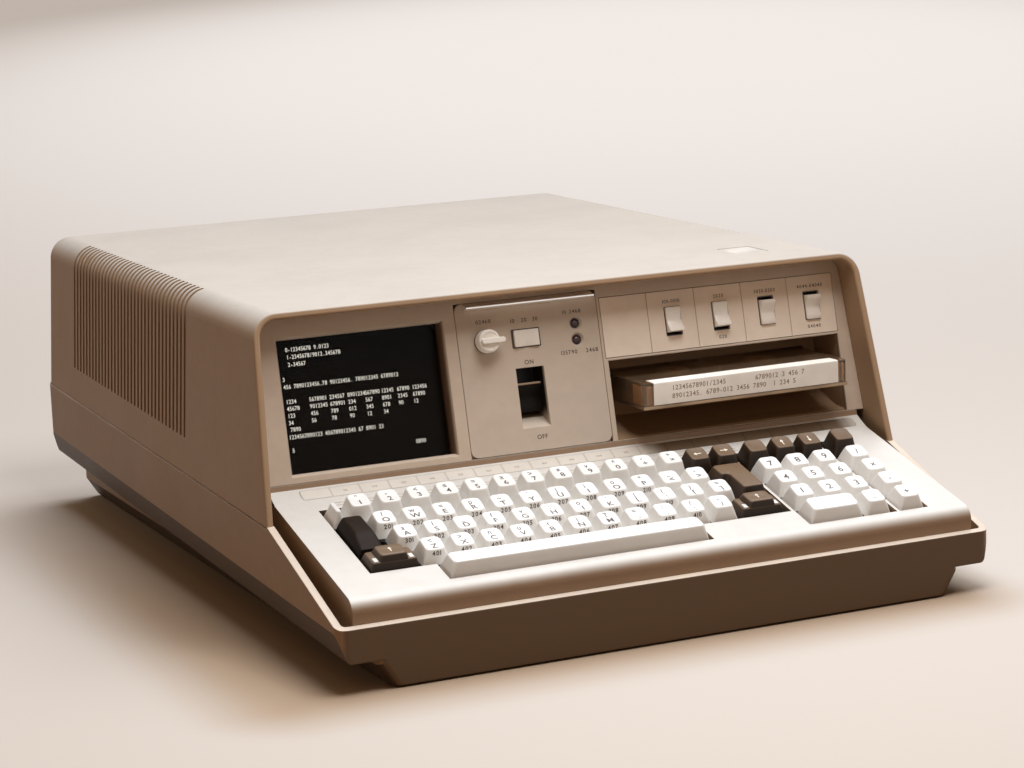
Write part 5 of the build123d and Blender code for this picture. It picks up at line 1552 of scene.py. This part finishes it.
# ---- front -----------------------------------------------------------------
@dataclass(frozen=True)
class Rocker:
    """Rocker with a hollowed face and a pin through its pivot."""

    wide: float
    long: float
    face: float                            # height of the face's ends over the pivot
    dish: float                            # depth of the hollow
    tail: float                            # reach below the pivot
    pivot: float                           # height of the pivot's axis on the bezel
    upright: bool                          # rocks up and down, not left and right
    finish: Finish
    slot: str                              # the record's material slot
    lip: float = 1.0
    rim: float = 0.3
    pin: float = 1.5                       # radius
    pin_out: float = 1.2                   # how far the pin stands out at each side
    pin_steps: int = 16

    def profile(self) -> list[Flat]:
        """Draws the side outline about the pivot.

        Returns:
            Pairs of place along the rocker and height, anticlockwise from the face's far end.
        """
        half, low = self.long / 2, self.face - self.dish
        end, shallow = self.face - self.dish * 0.06, self.face - self.dish * 0.5
        points = [(half - self.lip, end), (half * 0.55, shallow)]
        points += [(half * s, low + self.dish * abs(s) * 0.9) for s in (0.18, 0.0, -0.18)]
        points += [(-half * 0.55, shallow), (-half + self.lip, end)]
        points += [(-half + 0.25, self.face - 0.3), (-half, self.face - self.lip)]
        points += [(-half * 0.88, -1.0), (-half * 0.35, -self.tail)]
        points += [(half * 0.35, -self.tail), (half * 0.88, -1.0)]
        points += [(half, self.face - self.lip), (half - 0.25, self.face - 0.3)]
        return points

    def build(self, node: str, at: Flat, lean: float) -> None:
        """Makes the rocker in its place on the bezel.

        Args:
            node: Node that it stands for, which is also its body.
            at: Its pivot on the bezel.
            lean: Rest lean in degrees.
        """
        cos, sin = math.cos(math.radians(lean)), math.sin(math.radians(lean))

        def laid(side: float, along: float, height: float) -> Vector:
            """Turns the rocker's own axes into the bezel's.

            Args:
                side: Place along the pivot's axis.
                along: Place along the rocker.
                height: Height over the pivot.

            Returns:
                The point, in metres.
            """
            a, h = along * cos - height * sin, along * sin + height * cos
            if self.upright:
                return BEZEL.at(at[0] + side, at[1] + a, self.pivot + h)
            return BEZEL.at(at[0] - a, at[1] + side, self.pivot + h)

        body = Solid(laid)
        half, rim = self.wide / 2, self.rim
        rings = []
        for side, inset in ((-half, rim), (-half + rim, 0.0), (half - rim, 0.0), (half, rim)):
            ring = []
            for along, height in self.profile():
                pull = Vector((along, height - self.face / 2)).normalized() * inset
                ring.append((side, along - pull.x, height - pull.y))
            rings.append(ring)
        body.loft(rings)
        turns = [2 * math.pi * k / self.pin_steps for k in range(self.pin_steps)]
        body.loft([
            [(side, self.pin * math.cos(t), self.pin * math.sin(t)) for t in turns]
            for side in (-half - self.pin_out, half + self.pin_out)
        ])
        piece = body.build(f"{node}_cap", node, self.finish, crease=40.0)
        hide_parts(node)


OPTION_ROCKER = Rocker(wide=10.5, long=16.6, face=6.8, dish=2.2, tail=4.0, pivot=-3.2, upright=True,
                       finish=WHITE_ROCKER, slot="rocker_white")
MODE_ROCKER = Rocker(wide=10.6, long=17.6, face=5.4, dish=1.2, tail=4.0, pivot=-3.2, upright=False,
                     finish=WHITE_ROCKER, slot="rocker_white")
POWER_ROCKER = Rocker(wide=19.2, long=19.0, face=9.0, dish=2.2, tail=2.0, pivot=-15.5, upright=True,
                      finish=DARK_ROCKER, slot="rocker_dark")


# Text, height of a capital and middle on the bezel of each caption that belongs to no option switch.
CAPTIONS = (
    ("02468", 2.6, -54.0, 94.6), ("10", 2.6, -33.6, 93.0), ("20", 2.6, -25.6, 93.0), ("30", 2.6, -17.6, 93.0),
    ("10 2468", 2.5, 8.6, 95.0), ("135790", 2.7, 3.6, 68.9), ("2468", 2.7, 20.0, 68.9),
    ("ON", 2.9, -25.5, 65.8), ("OFF", 2.9, -22.5, 17.2),
)


def flat(x: float, v: float, lift: float) -> Spot:
    """Lays a point of a character on a plane's face."""
    return (x, v, lift)


@dataclass
class FrontPanel(Assembly):
    """Bezel with the control panel, its knob and its switches."""

    knob_at: Flat = (-54.3, 81.8)
    knob_sides: int = 64
    # Radius and height of each edge, from the shaft's foot to the middle of the face.
    knob_outline: tuple[Flat, ...] = (
        (3.0, -14.0), (3.0, 0.5), (7.5, 0.5), (7.5, 7.4), (7.15, 8.1), (6.5, 8.5), (5.8, 8.55), (5.4, 8.2),
        (0.5, 8.1),
    )
    # dark ring round the knob's foot, a painted shade of the gap under it
    base_shade_outline: tuple[Flat, ...] = ((7.1, 0.2), (7.6, 0.35), (7.6, 1.5), (7.1, 1.7))
    # Reach of the pointer bar to the left and right of the axis, its width, corner radius and height.
    pointer: tuple[tuple[float, ...], ...] = (
        (6.4, 10.8, 3.6, 1.7, 6.2), (6.4, 10.8, 3.6, 1.7, 8.6), (6.2, 10.6, 3.2, 1.5, 9.7),
        (5.9, 10.2, 2.6, 1.2, 10.4),
    )
    option_x: tuple[float, ...] = (81.3, 116.7, 151.8, 186.7)
    option_w: float = 81.3
    option_lean: tuple[float, ...] = (-12.0, -12.0, 12.0, 12.0)
    option_over: tuple[str, ...] = ("1011-01101", "2020", "3033-0303", "4044-04040")
    option_under: tuple[str, ...] = ("", "020", "", "04040")
    mode_at: Flat = (-25.6, 81.3)
    power_at: Flat = (-25.5, 44.2)
    power_lean: float = 10.0
    ridge_wide: float = 17.6
    ridge_w: Span = (51.3, 52.7)
    ridge_n: Span = (-6.6, -4.9)
    mode_hole: Flat = (20.2, 12.2)
    option_hole: Flat = (12.1, 19.3)
    # painted shade: dark rings in the gaps round the switches
    gap_shade_n: Span = (-0.2, 0.12)
    gap_shade_line: float = 1.2                # twice the width of a ring of painted gap shade
    gap_shade_radii: Flat = (0.8, 0.4)         # of its outer and its inner corners
    caption_height: float = 2.4
    caption_w: Flat = (94.6, 67.4)         # over and under the option switches

    def finishes(self) -> dict[str, Finish]:
        """Chooses the finish of each solid of the front.

        Returns:
            The finishes by node.
        """
        return {
            "front_bezel": BEZEL_PAINT,
            "control_panel": PANEL,
            "switch_panel": SWITCH_PANEL,
            "indicator_lamps": LAMP,
        }

    def knob(self) -> None:
        """Makes the round knob with its raised pointer bar and, round its foot, a dark ring of painted shade
        for the gap under it.
        """
        x, w = self.knob_at
        disc = Solid(BEZEL.at)
        disc.turned(x, w, self.knob_outline, self.knob_sides)
        disc.loft([
            lifted(rounded(oblong((x - back, x + front), around(w, wide)), radius, 5), n)
            for back, front, wide, radius, n in self.pointer
        ])
        # dark ring round the foot: painted shade of the gap under the knob
        disc.kind = 1
        disc.turned(x, w, self.base_shade_outline, self.knob_sides)
        piece = disc.build("brightness_knob_cap", "brightness_knob", KNOB_PLASTIC, DARK_BARS_AND_GAP_SHADE)
        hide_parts("brightness_knob")

    def switches(self) -> None:
        """Makes all rockers of the panel, and the ridge of the power rocker."""
        for i, (x, lean) in enumerate(zip(self.option_x, self.option_lean), 1):
            OPTION_ROCKER.build(f"option_switch_{i}", (x, self.option_w), lean)
        MODE_ROCKER.build("mode_switch", self.mode_at, 0.0)
        POWER_ROCKER.build("power_switch", self.power_at, self.power_lean)
        ridge = Solid(BEZEL.at)
        ridge.slab(oblong(around(self.power_at[0], self.ridge_wide), self.ridge_w), self.ridge_n, 0.5, 0.3)
        ridge.build("power_switch_ridge", "power_switch", RIDGE_PLASTIC)

    def gap_shades(self) -> None:
        """Makes thin dark rings in the gaps round the switches, a painted shade of the gaps."""
        rims = Solid(BEZEL.at)
        low, high = self.gap_shade_n
        line = self.gap_shade_line
        holes = [(self.mode_at, self.mode_hole)]
        holes += [((x, self.option_w), self.option_hole) for x in self.option_x]
        for (x, w), (wide, tall) in holes:
            big = rounded(oblong(around(x, wide), around(w, tall)), self.gap_shade_radii[0])
            small = rounded(oblong(around(x, wide - line), around(w, tall - line)), self.gap_shade_radii[1])
            rings = [lifted(big, low), lifted(big, high), lifted(small, high), lifted(small, low)]
            loops = rims.loft(rings, closed=False)
            rims.band(loops[-1], loops[0])
        rims.build("switch_gap_shade", "machine", DARK_BARS_AND_GAP_SHADE)

    def captions(self) -> None:
        """Makes the plain numbers beside the controls, and the words at the power switch."""
        marks = Solid(BEZEL.at)
        plan = list(CAPTIONS)
        for x, *words in zip(self.option_x, self.option_over, self.option_under):
            plan += [(text, self.caption_height, x, w) for text, w in zip(words, self.caption_w)]
        for text, height, x, w in plan:
            LETTERS.line(marks, text, height, (x, w), flat, 0.1)
        marks.build("panel_numbers", "machine", DARK_INK)

    def build(self) -> None:
        """Makes the controls and their markings."""
        self.knob()
        self.switches()
        self.gap_shades()
        self.captions()


# Left end and distance from the top, as shares of the window, of each line of plain digits shown.
SHOWN_LINES = (
    (0.06, 0.082, "0-12345678 9.0123"), (0.063, 0.137, "1-2345678/9012.345678"), (0.066, 0.193, "2-34567"),
    (0.023, 0.300, "3"), (0.023, 0.356, "456 7890123456.78 90123456. 789012345 6789012"),
    (0.035, 0.675, "7890"), (0.02, 0.731, "1234567890123 456789012345 67 8901 23"),
    (0.784, 0.877, "0890"), (0.03, 0.83, "5"),
)
# The table below the lines: left ends of its columns, as shares of the window, and its rows.
SHOWN_COLUMNS = (0.028, 0.167, 0.29, 0.40, 0.506, 0.608, 0.706, 0.80)
SHOWN_TABLE = (
    ("1234", "5678901", "234567", "8901234", "567890", "12345", "67890", "123456"),
    ("45678", "9012345", "678901", "234", "567", "8901", "2345", "67890"),
    ("123", "456", "789", "012", "345", "678", "90", "12"),
    ("34", "56", "78", "90", "12", "34"),
)


@dataclass
class Display(Assembly):
    """Picture tube, its window and the lines of digits it shows."""

    x: Span = (-193.0, -83.0)
    w: Span = (13.3, 97.1)
    text_n: float = -12.1
    height: float = 2.7
    pitch: float = 1.72
    squeeze: float = 0.86
    table_down: float = 0.467              # share of the window's height from its top
    table_step: float = 0.0525
    shift: Flat = (0.017, 0.01)            # shares that all text stands further right and up

    def finishes(self) -> dict[str, Finish]:
        """Finish of each solid of the display."""
        return {"display_window": WINDOW, "display_tube": TUBE, "deflection_yoke": YOKE_WIRE}

    def build(self) -> None:
        """Makes the lit digits between the tube and its window."""
        glow = Solid(BEZEL.at)
        wide, tall = self.x[1] - self.x[0], self.w[1] - self.w[0]
        lines = list(SHOWN_LINES)
        for i, words in enumerate(SHOWN_TABLE):
            down = self.table_down + self.table_step * i
            lines += [(left, down, word) for left, word in zip(SHOWN_COLUMNS, words)]
        for left, down, text in lines:
            across = self.x[0] + wide * (left + self.shift[0]) + len(text) * self.pitch / 2
            up = self.w[1] - tall * (down - self.shift[1])
            LETTERS.line(glow, text, self.height, (across, up), lambda a, b, lift: (a, b, self.text_n + lift),
                         0.1, self.pitch, self.squeeze)
        glow.build("display_digits", "machine", PHOSPHOR)


# ---- tape drive ------------------------------------------------------------
@dataclass
class TapeDrive(Assembly):
    """Bay, drive deck, motor and head."""

    baffle_x: Span = (36.0, 200.0)
    baffle_y: Span = (-117.4, -116.8)
    baffle_z: Span = (134.3, 141.0)

    def finishes(self) -> dict[str, Finish]:
        """Chooses the finish of each solid of the drive.

        Returns:
            The finishes by node.
        """
        return {
            "tape_bay": BAY_PLASTIC,
            "tape_drive_deck": CAST,
            "drive_motor": SHEET,
            "tape_head": HEAD,
            "capstan": PUCK,
        }

    def build(self) -> None:
        """Makes the baffle that closes the gap over the cartridge."""
        baffle = Solid(LEVEL.at)
        baffle.slab(oblong(self.baffle_x, self.baffle_y), self.baffle_z, 0.2)
        baffle.build("bay_baffle", "machine", BAY_PLASTIC)


@dataclass(frozen=True)
class Upright:
    """Plate that stands behind the cartridge's front, near each side."""

    inward: float                          # from the side to its middle
    wide: float
    behind: Span                           # from the front
    z: Span
    radius: float = 0.3
    edge: float = 0.0

    def stand(self, solid: Solid, side: float, inward: int, front: float) -> None:
        """Adds the plate near one side.

        Args:
            solid: Piece that it belongs to.
            side: Place of the side.
            inward: 1 at the left side and -1 at the right.
            front: Place of the front.
        """
        corners = oblong(around(side + inward * self.inward, self.wide),
                         (front + self.behind[0], front + self.behind[1]))
        solid.slab(corners, self.z, self.radius, self.edge)


@dataclass
class Cartridge(Assembly):
    """Data cartridge with its smoked cover, label and reels."""

    x: Span = (41.8, 194.2)
    front: float = -180.0
    z: Span = (119.0, 134.0)
    label_wide: float = 138.0
    label_thick: float = 0.4
    label_foot: float = 0.6                # from the cartridge's foot
    flap: float = 11.0                     # how far the label reaches over the top
    fold: float = 0.9                      # radius of its fold
    fold_inside: float = 0.55              # share of that radius on its inner side
    fold_steps: int = 4
    post_in: float = 5.4                   # from a side to the axis of a corner post
    post_behind: float = 6.0
    post_outline: tuple[Flat, ...] = ((2.6, 119.2), (2.6, 130.6), (2.2, 131.6), (0.4, 131.8))
    rib: Upright = Upright(3.9, 1.4, behind=(9.0, 20.0), z=(119.1, 131.8), radius=0.4, edge=0.2)
    lug: Upright = Upright(7.6, 4.2, behind=(2.6, 3.4), z=(119.2, 131.4))
    fin: Upright = Upright(2.7, 0.8, behind=(5.4, 14.0), z=(119.2, 130.6))
    bar_in: float = 3.4                    # from a side to the axis of a dark bar
    bar_behind: float = 3.4
    bar_outline: tuple[Flat, ...] = ((0.55, 119.1), (0.55, 131.9))
    digit_height: float = 3.3
    digit_pitch: float = 2.5
    digits: tuple[tuple[str, float, float], ...] = (
        ("12345678901/2345", 82.0, 130.0), ("6789012 3 456 7", 142.5, 130.0),
        ("89012345. 6789-012 3456 7890  1 234 5", 108.3, 124.6),
    )

    def finishes(self) -> dict[str, Finish]:
        """Chooses the finish of each solid of the cartridge that is kept.

        Returns:
            The finishes by node.
        """
        return {
            "cartridge_base": BASE_METAL,
            "cartridge_cover": SMOKE,
            "left_reel": WoundTape("left reel tape", axis=(85.0, -138.0)),
            "right_reel": WoundTape("right reel tape", axis=(151.0, -138.0)),
            "drive_roller": ROLLER,
        }

    def label(self) -> None:
        """Makes the paper label, folded over the front and the front of the top."""
        fold = Solid(lambda y, z, x: LEVEL.at(x, y, z))
        thick = self.label_thick
        front, top, foot = self.front - thick, self.z[1] + thick, self.z[0] + self.label_foot
        turns = [math.pi / 2 * k / self.fold_steps for k in range(self.fold_steps + 1)]
        bend = [(self.fold * (1 - math.cos(t)), self.fold * (1 - math.sin(t))) for t in turns]
        outer = [(front + a, top - b) for a, b in bend]
        share = self.fold_inside
        inner = [(front + thick + a * share, top - thick - b * share) for a, b in bend]
        side = [(front, foot)] + outer + [(front + self.flap, top), (front + self.flap, top - thick)]
        side += inner[::-1] + [(front + thick, foot)]
        ends = around(middle(self.x), self.label_wide)
        fold.loft([[(y, z, x) for y, z in side] for x in ends])
        piece = fold.build("label", "cartridge", LABEL_PAPER)
        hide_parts("cartridge_label")

    def posts(self) -> None:
        """Makes the bars and corner posts that show through the cover."""
        posts, bars = Solid(LEVEL.at), Solid(LEVEL.at)
        sides = ((self.x[0], 1), (self.x[1], -1))
        for x, inward in sides:
            posts.turned(x + inward * self.post_in, self.front + self.post_behind, self.post_outline, 24)
        for x, inward in sides:
            self.rib.stand(posts, x, inward, self.front)
        for x, inward in sides:
            self.lug.stand(posts, x, inward, self.front)
            self.fin.stand(posts, x, inward, self.front)
            bars.turned(x + inward * self.bar_in, self.front + self.bar_behind, self.bar_outline, 12)
        bars.build("cartridge_bars", "cartridge", DARK_BARS_AND_GAP_SHADE)
        posts.build("cartridge_posts", "cartridge", POST_PLASTIC)

    def build(self) -> None:
        """Makes the posts, the label and its digits."""
        self.posts()
        self.label()
        face = self.front - self.label_thick
        marks = Solid(lambda x, z, n: LEVEL.at(x, face - n, z))
        for text, x, z in self.digits:
            LETTERS.line(marks, text, self.digit_height, (x, z), flat, pitch=self.digit_pitch)
        marks.build("label_digits", "cartridge", GREY_INK)


# ---- inside and rear -------------------------------------------------------
@dataclass
class Electronics(Assembly):
    """Chassis with its cage, supply and fan."""

    def finishes(self) -> dict[str, Finish]:
        """Chooses the finish of each solid inside the case.

        Returns:
            The finishes by node.
        """
        return {
            "chassis_plate": SHEET,
            "card_cage": CAGE,
            "backplane": Board("backplane lacquer"),
            "circuit_cards": Board("card lacquer", tone=(58, 92, 56)),
            "power_supply": CAGE,
            "transformer": CORE,
            "fan_frame": FAN_PLASTIC,
            "fan_rotor": FAN_PLASTIC,
        }


@dataclass
class RearSlotShade(Assembly):
    """Dark strips that line the cooling slots of the rear wall, a painted shade inside the slots."""

    first_x: float = 98.0
    pitch: float = 9.0
    count: int = 12
    wide: float = 4.4
    foot_z: float = 130.5
    corner: Flat = (305.0, 203.0)          # the cover's upper rear corner, in y and z
    radius: float = 8.0
    steps: int = 6
    sink: float = 0.7                      # how far the strips lie below the outer skin
    thick: float = 0.4

    def arc(self, sink: float) -> list[Flat]:
        """Draws the side view of a line sunk below the cover's rear corner.

        Args:
            sink: How far the line lies below the outer skin.

        Returns:
            Pairs of place along Y and height, from the foot over the top.
        """
        y, z = self.corner[0] - self.radius, self.corner[1] - self.radius
        reach = self.radius - sink
        turns = [math.pi / 2 * k / self.steps for k in range(self.steps + 1)]
        bend = [(y + reach * math.cos(t), z + reach * math.sin(t)) for t in turns]
        return [(y + reach, self.foot_z)] + bend

    def build(self) -> None:
        """Makes one dark strip of painted shade for each slot."""
        screen = Solid(lambda y, z, x: LEVEL.at(x, y, z))
        outline = self.arc(self.sink) + self.arc(self.sink + self.thick)[::-1]
        for i in range(self.count):
            sides = around(self.first_x + self.pitch * i, self.wide)
            screen.loft([[(y, z, x) for y, z in outline] for x in sides])
        screen.build("rear_slot_shade", "machine", BLACK_METAL)


@dataclass
class RearSockets(Assembly):
    """Connectors in the rear recess."""

    def finishes(self) -> dict[str, Finish]:
        """Finish of each connector."""
        return {"signal_connectors": HEAD, "power_inlet": INLET_PLASTIC}


# ---- studio ----------------------------------------------------------------
def hung(name: str, item: Union[bpy.types.Light, bpy.types.Camera, bpy.types.Mesh]) -> bpy.types.Object:
    """Puts a light, a camera or a mesh into the scene.

    Args:
        name: Name of the object.
        item: What it holds.

    Returns:
        The object.
    """
    holder = bpy.data.objects.new(name, item)
    bpy.context.scene.collection.objects.link(holder)
    return holder


@dataclass
class Studio(Assembly):
    """Floor, light and camera, with places in metres."""

    eye: Spot = (-0.7512, -1.7381, 0.461)
    yaw: float = 24.2
    pitch: float = 10.48
    roll: float = -2.27
    focal_px: float = 2759.0
    frame_px: float = 1024.0
    sensor: float = 36.0                   # millimetres
    clip: Span = (0.05, 200.0)
    key_from: Spot = (0.34, 0.2, 0.92)
    key_power: float = 2.5
    key_angle: float = 52.0
    key_tone: Spot = (0.885, 0.94, 1.0)
    front_at: Spot = (0.03, -0.44, 0.98)
    front_to: Spot = (0.0, -0.18, 0.12)
    front_tone: Spot = (0.95, 0.95, 0.95)
    front_power: float = 6.8
    front_size: float = 0.5
    fill: Tone = (136.0, 108.0, 77.0)
    floor_reach: float = 40.0
    floor_tone: Tone = (252.0, 251.0, 250.0)
    # tone of the floor outside the painted pool of light
    floor_side: Tone = (197.0, 189.0, 181.0)
    floor_unseen: Tone = (104.0, 80.0, 58.0)
    pool: Spot = (2.6, 4.7, 0.0)           # middle of the pool of light painted on the floor
    pool_size: Flat = (2.1, 5.1)           # its half sizes across and away from the camera
    shade_tone: Tone = (168.0, 147.0, 126.0)
    shade_middle: Spot = (-0.033, 0.0, 0.0)
    shade_half: Spot = (0.2195, 0.305, 1.0)
    shade_reach: Span = (0.074, 0.0)
    shade_ahead: Span = (0.42, -0.1)

    def camera(self) -> None:
        """Places the camera where the photograph was taken from."""
        yaw, pitch, roll = (math.radians(a) for a in (self.yaw, self.pitch, self.roll))
        ahead = Vector((math.sin(yaw) * math.cos(pitch), math.cos(yaw) * math.cos(pitch), -math.sin(pitch)))
        level = Vector((math.cos(yaw), -math.sin(yaw), 0.0))
        upright = level.cross(ahead)
        right = level * math.cos(roll) + upright * math.sin(roll)
        up = upright * math.cos(roll) - level * math.sin(roll)
        lens = bpy.data.cameras.new("camera")
        lens.sensor_width = self.sensor
        lens.lens = self.focal_px * self.sensor / self.frame_px
        lens.clip_start, lens.clip_end = self.clip
        holder = hung("camera", lens)
        turn = Matrix((right, up, -ahead)).transposed().to_4x4()
        holder.matrix_world = Matrix.Translation(self.eye) @ turn
        bpy.context.scene.camera = holder

    def lights(self) -> None:
        """Hangs the two soft lights."""
        lamp = bpy.data.lights.new("overhead", "SUN")
        lamp.energy, lamp.angle, lamp.color = self.key_power, math.radians(self.key_angle), self.key_tone
        hung("overhead", lamp).rotation_euler = Vector(self.key_from).to_track_quat("Z", "Y").to_euler()
        panel = bpy.data.lights.new("front", "AREA")
        panel.energy, panel.size, panel.color = self.front_power, self.front_size, self.front_tone
        holder = hung("front", panel)
        holder.location = self.front_at
        aim = Vector(self.front_at) - Vector(self.front_to)
        holder.rotation_euler = aim.to_track_quat("Z", "Y").to_euler()
        holder.visible_camera = False

    def surroundings(self) -> None:
        """Sets the dim fill, behind which camera and mirrors see the floor's tone."""
        world = bpy.data.worlds.new("studio")
        bpy.context.scene.world = world
        recipe = Recipe(world)
        fill, seen = (recipe.node("ShaderNodeBackground", {}, {"Color": tint(tone)})
                      for tone in (self.fill, self.floor_tone))
        camera, glossy, through = (recipe.node("ShaderNodeLightPath", output=f"Is {ray} Ray")
                                   for ray in ("Camera", "Glossy", "Transmission"))
        settings = {"operation": "ADD", "use_clamp": True}
        shown = recipe.node("ShaderNodeMath", settings, {0: camera + glossy, 1: through})
        mixed = recipe.node("ShaderNodeMixShader", {}, {0: shown, 1: fill, 2: seen})
        recipe.feed(recipe.tree.nodes["World Output"].inputs["Surface"], mixed)

    def floor_colour(self, recipe: Recipe) -> Signal:
        """Mixes the floor's colour.

        Args:
            recipe: Nodes of the floor's material.

        Returns:
            The pale colour with its painted pool of light and its painted soft shadow round the object.
        """
        turn = math.radians(self.yaw)
        spot = recipe.offset(recipe.place(), Vector(self.pool))
        across, away = (
            recipe.vector("DOT_PRODUCT", spot, Vector(way)) * (1 / size)
            for way, size in zip(((math.cos(turn), -math.sin(turn), 0), (math.sin(turn), math.cos(turn), 0)),
                                 self.pool_size)
        )
        # painted pool of light, fading outwards
        near = (across * across + away * away).between(0.02, 1.5)
        shade = recipe.mix(near, tint(self.floor_tone), tint(self.floor_side))
        past = recipe.vector("ABSOLUTE", recipe.offset(recipe.place(), Vector(self.shade_middle)))
        past = recipe.vector("MAXIMUM", recipe.offset(past, Vector(self.shade_half)), Vector())
        ahead = recipe.vector("DOT_PRODUCT", recipe.place(), REAR).between(*self.shade_ahead)
        round_it = recipe.vector("LENGTH", past).between(*self.shade_reach) * ahead
        return recipe.mix(round_it, shade, tint(self.shade_tone))

    def floor(self) -> None:
        """Lays the seamless pale floor."""
        mesh = bpy.data.meshes.new("floor")
        corners = oblong((-self.floor_reach, self.floor_reach), (-self.floor_reach, self.floor_reach))
        mesh.from_pydata(lifted(corners, 0.0), [], [(0, 1, 2, 3)])
        paint = bpy.data.materials.new("studio floor")
        recipe = Recipe(paint)
        bounce = recipe.node("ShaderNodeLightPath", output="Is Diffuse Ray")
        recipe.surface(
            Base_Color=recipe.mix(bounce, self.floor_colour(recipe), tint(self.floor_unseen)),
            Roughness=0.9,
            Specular_IOR_Level=0.1,
        )
        mesh.materials.append(paint)
        ground = hung("floor", mesh)

    def build(self) -> None:
        """Sets up the whole studio."""
        self.camera()
        self.lights()
        self.surroundings()
        self.floor()
        bpy.context.scene.view_settings.view_transform = "Standard"


def main() -> None:
    """Builds every sub-assembly in order."""
    logging.basicConfig(level=logging.INFO, format="%(name)s: %(message)s")
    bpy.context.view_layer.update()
    for part in (CaseShell(), KeyboardDeck(), Keyboard(), FrontPanel(), Display(), TapeDrive(), Cartridge(),
                 Electronics(), RearSlotShade(), RearSockets(), Studio()):
        part.dress()
        part.build()
        LOG.info("%s is done", type(part).__name__)


if __name__ == "__main__":
    main()
